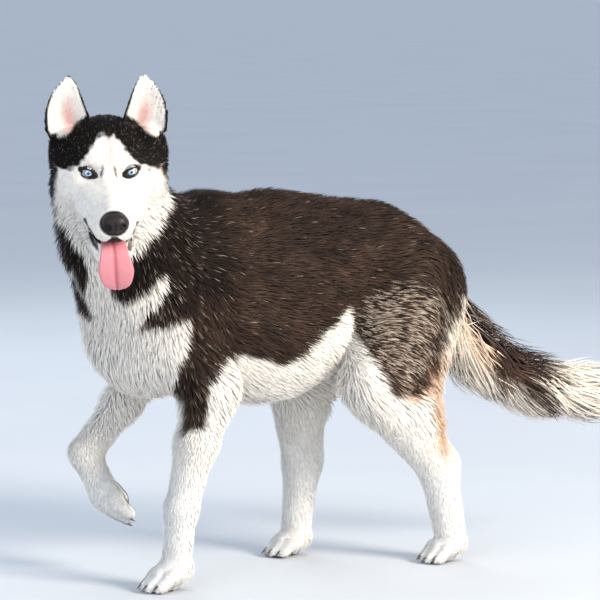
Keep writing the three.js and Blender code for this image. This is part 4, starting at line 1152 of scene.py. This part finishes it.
eye_material = coloured("eye", 900, 0.92, 1.06, Roughness=0.12, Specular_IOR_Level=0.6, Coat_Weight=1.0,
                        Coat_Roughness=0.03)
IRIS, PUPIL = 6.0, 1.7
EYE_AROUND = 40
for s, word in ((-1, "right"), (1, "left")):
    angles = np.concatenate([np.linspace(0, 0.7, 20), np.linspace(0.75, math.pi, 12)])
    points, tones = [], []
    gaze = unit(vec(0.04 * s, -0.03, 1))
    side = unit(np.cross(vec(0, 1, 0), gaze))
    over = np.cross(gaze, side)
    for a in angles:
        cornea = 0.5 * max(0, 1 - (a / 0.55) ** 2)
        reach = EYE_RADIUS * math.sin(a) if a < 1.5 else 99
        for b in circle(EYE_AROUND):
            out = gaze * math.cos(a) + (side * math.cos(b) + over * math.sin(b)) * math.sin(a)
            points.append(vec(EYE_X * s, 0, EYE_DEPTH) + out * (EYE_RADIUS + cornea))
            tones.append(eye_tone(reach, b))
    eye = make_mesh("eyeball_" + word, from_head(points), ring_net(len(angles), EYE_AROUND), eye_material,
                    np.array(tones))
    settle(eye, "eye", "eye_" + word)

# Nose: a leathery pad with comma nostrils and a groove down its middle; the nostrils, their side slits and
# the groove are darkened with painted shade
NOSE_AT, NOSE_SIZE = vec(0.5, -42.5, 87), vec(18.0, 14.8, 14.8)
NOSE_ROWS, NOSE_AROUND, SQUARENESS = 49, 72, 2.4
NOSE_SKIN, NOSTRIL_SHADE = colour(36, 24, 24), colour(5, 4, 4)
points, tones = [], []
for a in np.linspace(0, math.pi, NOSE_ROWS):
    for b in circle(NOSE_AROUND):
        out = vec(math.sin(a) * math.cos(b), math.sin(a) * math.sin(b), math.cos(a))
        p = out * (np.abs(out) ** SQUARENESS).sum() ** (-1 / SQUARENESS) * NOSE_SIZE
        au = abs(p[0])
        if p[1] < -2:
            p[0] *= 1 - 0.028 * (-2 - p[1])
        hole = max(0.0, 1 - math.hypot((au - 10.4) / 5.4, (p[1] + 2.2) / 5.8)) if p[2] > 0 else 0
        slit = max(0.0, 1 - math.hypot((au - 15.5) / 5, (p[1] + 5.0) / 2.4)) if p[2] > -4 else 0
        groove = max(0.0, 1 - abs(p[0]) / 1.5) * (p[1] < 5) * (p[2] > 0)
        p[2] -= 8.5 * min(1, hole * 1.9) + 3.0 * slit + 1.3 * groove
        points.append(NOSE_AT + p)
        # Painted shade: the sunk nostrils, slits and groove darken towards near-black
        tones.append(lerp(NOSE_SKIN, NOSTRIL_SHADE, min(1, hole * 2.8 + slit * 1.4 + groove * 0.6)))
nose_material, nose_node, tree = principled("nose_leather", Roughness=0.4, Specular_IOR_Level=0.32)
attribute = add_node(tree, "Attribute")
attribute.attribute_name = "Col"
tree.links.new(attribute.outputs["Color"], nose_node.inputs["Base Color"])
cells = add_node(tree, "TexVoronoi", Scale=700)
tree.links.new(add_node(tree, "TexCoord").outputs["Object"], cells.inputs["Vector"])
add_bump(tree, nose_node, cells.outputs["Distance"], 0.5)
nose_faces = ring_net(NOSE_ROWS, NOSE_AROUND)
nose = make_mesh("nose_pad", from_head(points), nose_faces, nose_material, np.array(tones))
settle(nose, "nose", "nose")

# Tongue: a long flat blade with a groove, hanging over the lower lip; middle, half width, half thickness
TONGUE = [((0, -82, 22), 15, 5), ((0, -81, 50), 17, 4.5), ((0, -84, 72), 18, 4), ((1, -94, 84), 21, 4),
          ((2, -113, 88), 25, 4), ((3, -130, 86), 22, 3.6), ((4, -140, 83), 15.5, 3),
          ((4, -146, 80), 2.5, 1.4)]
TONGUE_ROWS, TONGUE_AROUND = 46, 32
# FLESH is the tongue's own colour; the furrow colour is painted shade, for its middle groove and its root
# inside the mouth
FLESH, FURROW_SHADE = colour(212, 134, 140), colour(168, 78, 88)
middle = smooth_line([t[0] for t in TONGUE], TONGUE_ROWS)
halves = smooth_line([(t[1], t[2], 0) for t in TONGUE], TONGUE_ROWS)
points, tones = [], []
for i, (wide, thick, _) in enumerate(halves):
    along = unit(middle[min(TONGUE_ROWS - 1, i + 1)] - middle[max(0, i - 1)])
    out = unit(np.cross(vec(1, 0, 0), along))
    for b in circle(TONGUE_AROUND):
        x, y = math.cos(b), math.sin(b)
        groove = 1.28 * math.exp(-(x / 0.10) ** 2) * min(1, thick / 3)
        lift = thick * abs(y) ** 0.8 * np.sign(y) - np.sign(y) * groove - 2.2 * x * x
        points.append(middle[i] + vec(x * wide, 0, 0) + out * lift)
        # Painted shade darkens the groove down the middle
        tones.append(lerp(FLESH, FURROW_SHADE, 0.9 * math.exp(-(x / 0.06) ** 2)))
start, end = len(points), len(points) + 1
points += [middle[0], middle[-1] + unit(middle[-1] - middle[-2]) * 0.8]
tones += [FURROW_SHADE, colour(206, 126, 132)]
faces = [turned_out(ring_net(TONGUE_ROWS, TONGUE_AROUND))]
for j in range(TONGUE_AROUND):
    k = (j + 1) % TONGUE_AROUND
    last = (TONGUE_ROWS - 1) * TONGUE_AROUND
    faces.append([(start, k, j), (end, last + j, last + k)])
tongue_material = coloured("tongue_flesh", 900, 0.9, 1.08, bump=0.35, Roughness=0.42, Specular_IOR_Level=0.5,
                           Subsurface_Weight=0.15, Subsurface_Scale=0.004)
tongue = make_mesh("tongue_blade", from_head(points), np.vstack(faces), tongue_material,
                   np.array(tones))
settle(tongue, "tongue", "tongue")

# Claws
CLAW_ROWS, CLAW_AROUND = 6, 8
claw_material = two_tone("claw", 500, colour(52, 44, 40), colour(104, 92, 82), 0.4)
fan = np.arange(1, CLAW_AROUND - 1)
root_cap = np.stack([0 * fan, fan + 1, fan], 1)
tip_cap = np.stack([0 * fan, fan, fan + 1], 1) + (CLAW_ROWS - 1) * CLAW_AROUND
claw_faces = np.vstack([turned_out(ring_net(CLAW_ROWS, CLAW_AROUND)), root_cap, tip_cap])
for name, leg in LEGS.items():
    place, way, under, toes = paw_places(leg)
    points, faces = [], []
    for root, knuckle, tip in toes:
        faces.append(claw_faces + len(points))
        start = tip + way * 5 * leg["size"] - under * 3
        for t in np.linspace(0, 1, CLAW_ROWS):
            c = start + way * (11 * t) + under * (7 * t * t)
            radius = 2.9 * (1 - t) ** 0.7 + 0.3
            for b in circle(CLAW_AROUND):
                points.append(c + vec(0, 0.75 * radius * math.cos(b), 0) - under * math.sin(b) * radius)
    points = np.array(points)
    points[:, 2] = np.maximum(points[:, 2], FLOOR + 0.3)
    settle(make_mesh("claws_" + name, points, np.vstack(faces), claw_material), "nose")

# Floor and light
FLOOR_HALF = 900
corners = [(-FLOOR_HALF, -FLOOR_HALF, 0), (FLOOR_HALF, -FLOOR_HALF, 0), (FLOOR_HALF, FLOOR_HALF, 0),
           (-FLOOR_HALF, FLOOR_HALF, 0)]
floor_mesh = bpy.data.meshes.new("floor")
floor_mesh.from_pydata(corners, [], [(0, 1, 2, 3)])
floor_mesh.materials.append(two_tone("floor", 1.5, (0.60, 0.62, 0.65), (0.68, 0.70, 0.72), 0.9))
floor = bpy.data.objects.new("floor", floor_mesh)
bpy.context.scene.collection.objects.link(floor)

world = bpy.data.worlds.new("world")
world.use_nodes = True
sky = world.node_tree.nodes["Background"]
sky.inputs["Color"].default_value = (0.70, 0.80, 0.95, 1)
sky.inputs["Strength"].default_value = 0.84
bpy.context.scene.world = world


def lamp(name, at, size, power, tint):
    data = bpy.data.lights.new(name, "AREA")
    data.size, data.energy, data.color = size, power, tint
    light = bpy.data.objects.new(name, data)
    light.location = at
    light.rotation_euler = (CAMERA_TARGET - Vector(at)).to_track_quat("-Z", "Y").to_euler()
    bpy.context.scene.collection.objects.link(light)


lamp("key", (1.6, -3.6, 2.2), 1.6, 262, (1.0, 0.92, 0.80))
lamp("front", (-3.2, -2.2, 1.6), 2.4, 40, (0.86, 0.92, 1.0))
lamp("back", (0.5, 3.2, 2.8), 2.4, 40, (0.9, 0.95, 1.0))
bpy.context.scene.view_settings.view_transform = "Standard"

bpy.context.view_layer.update()
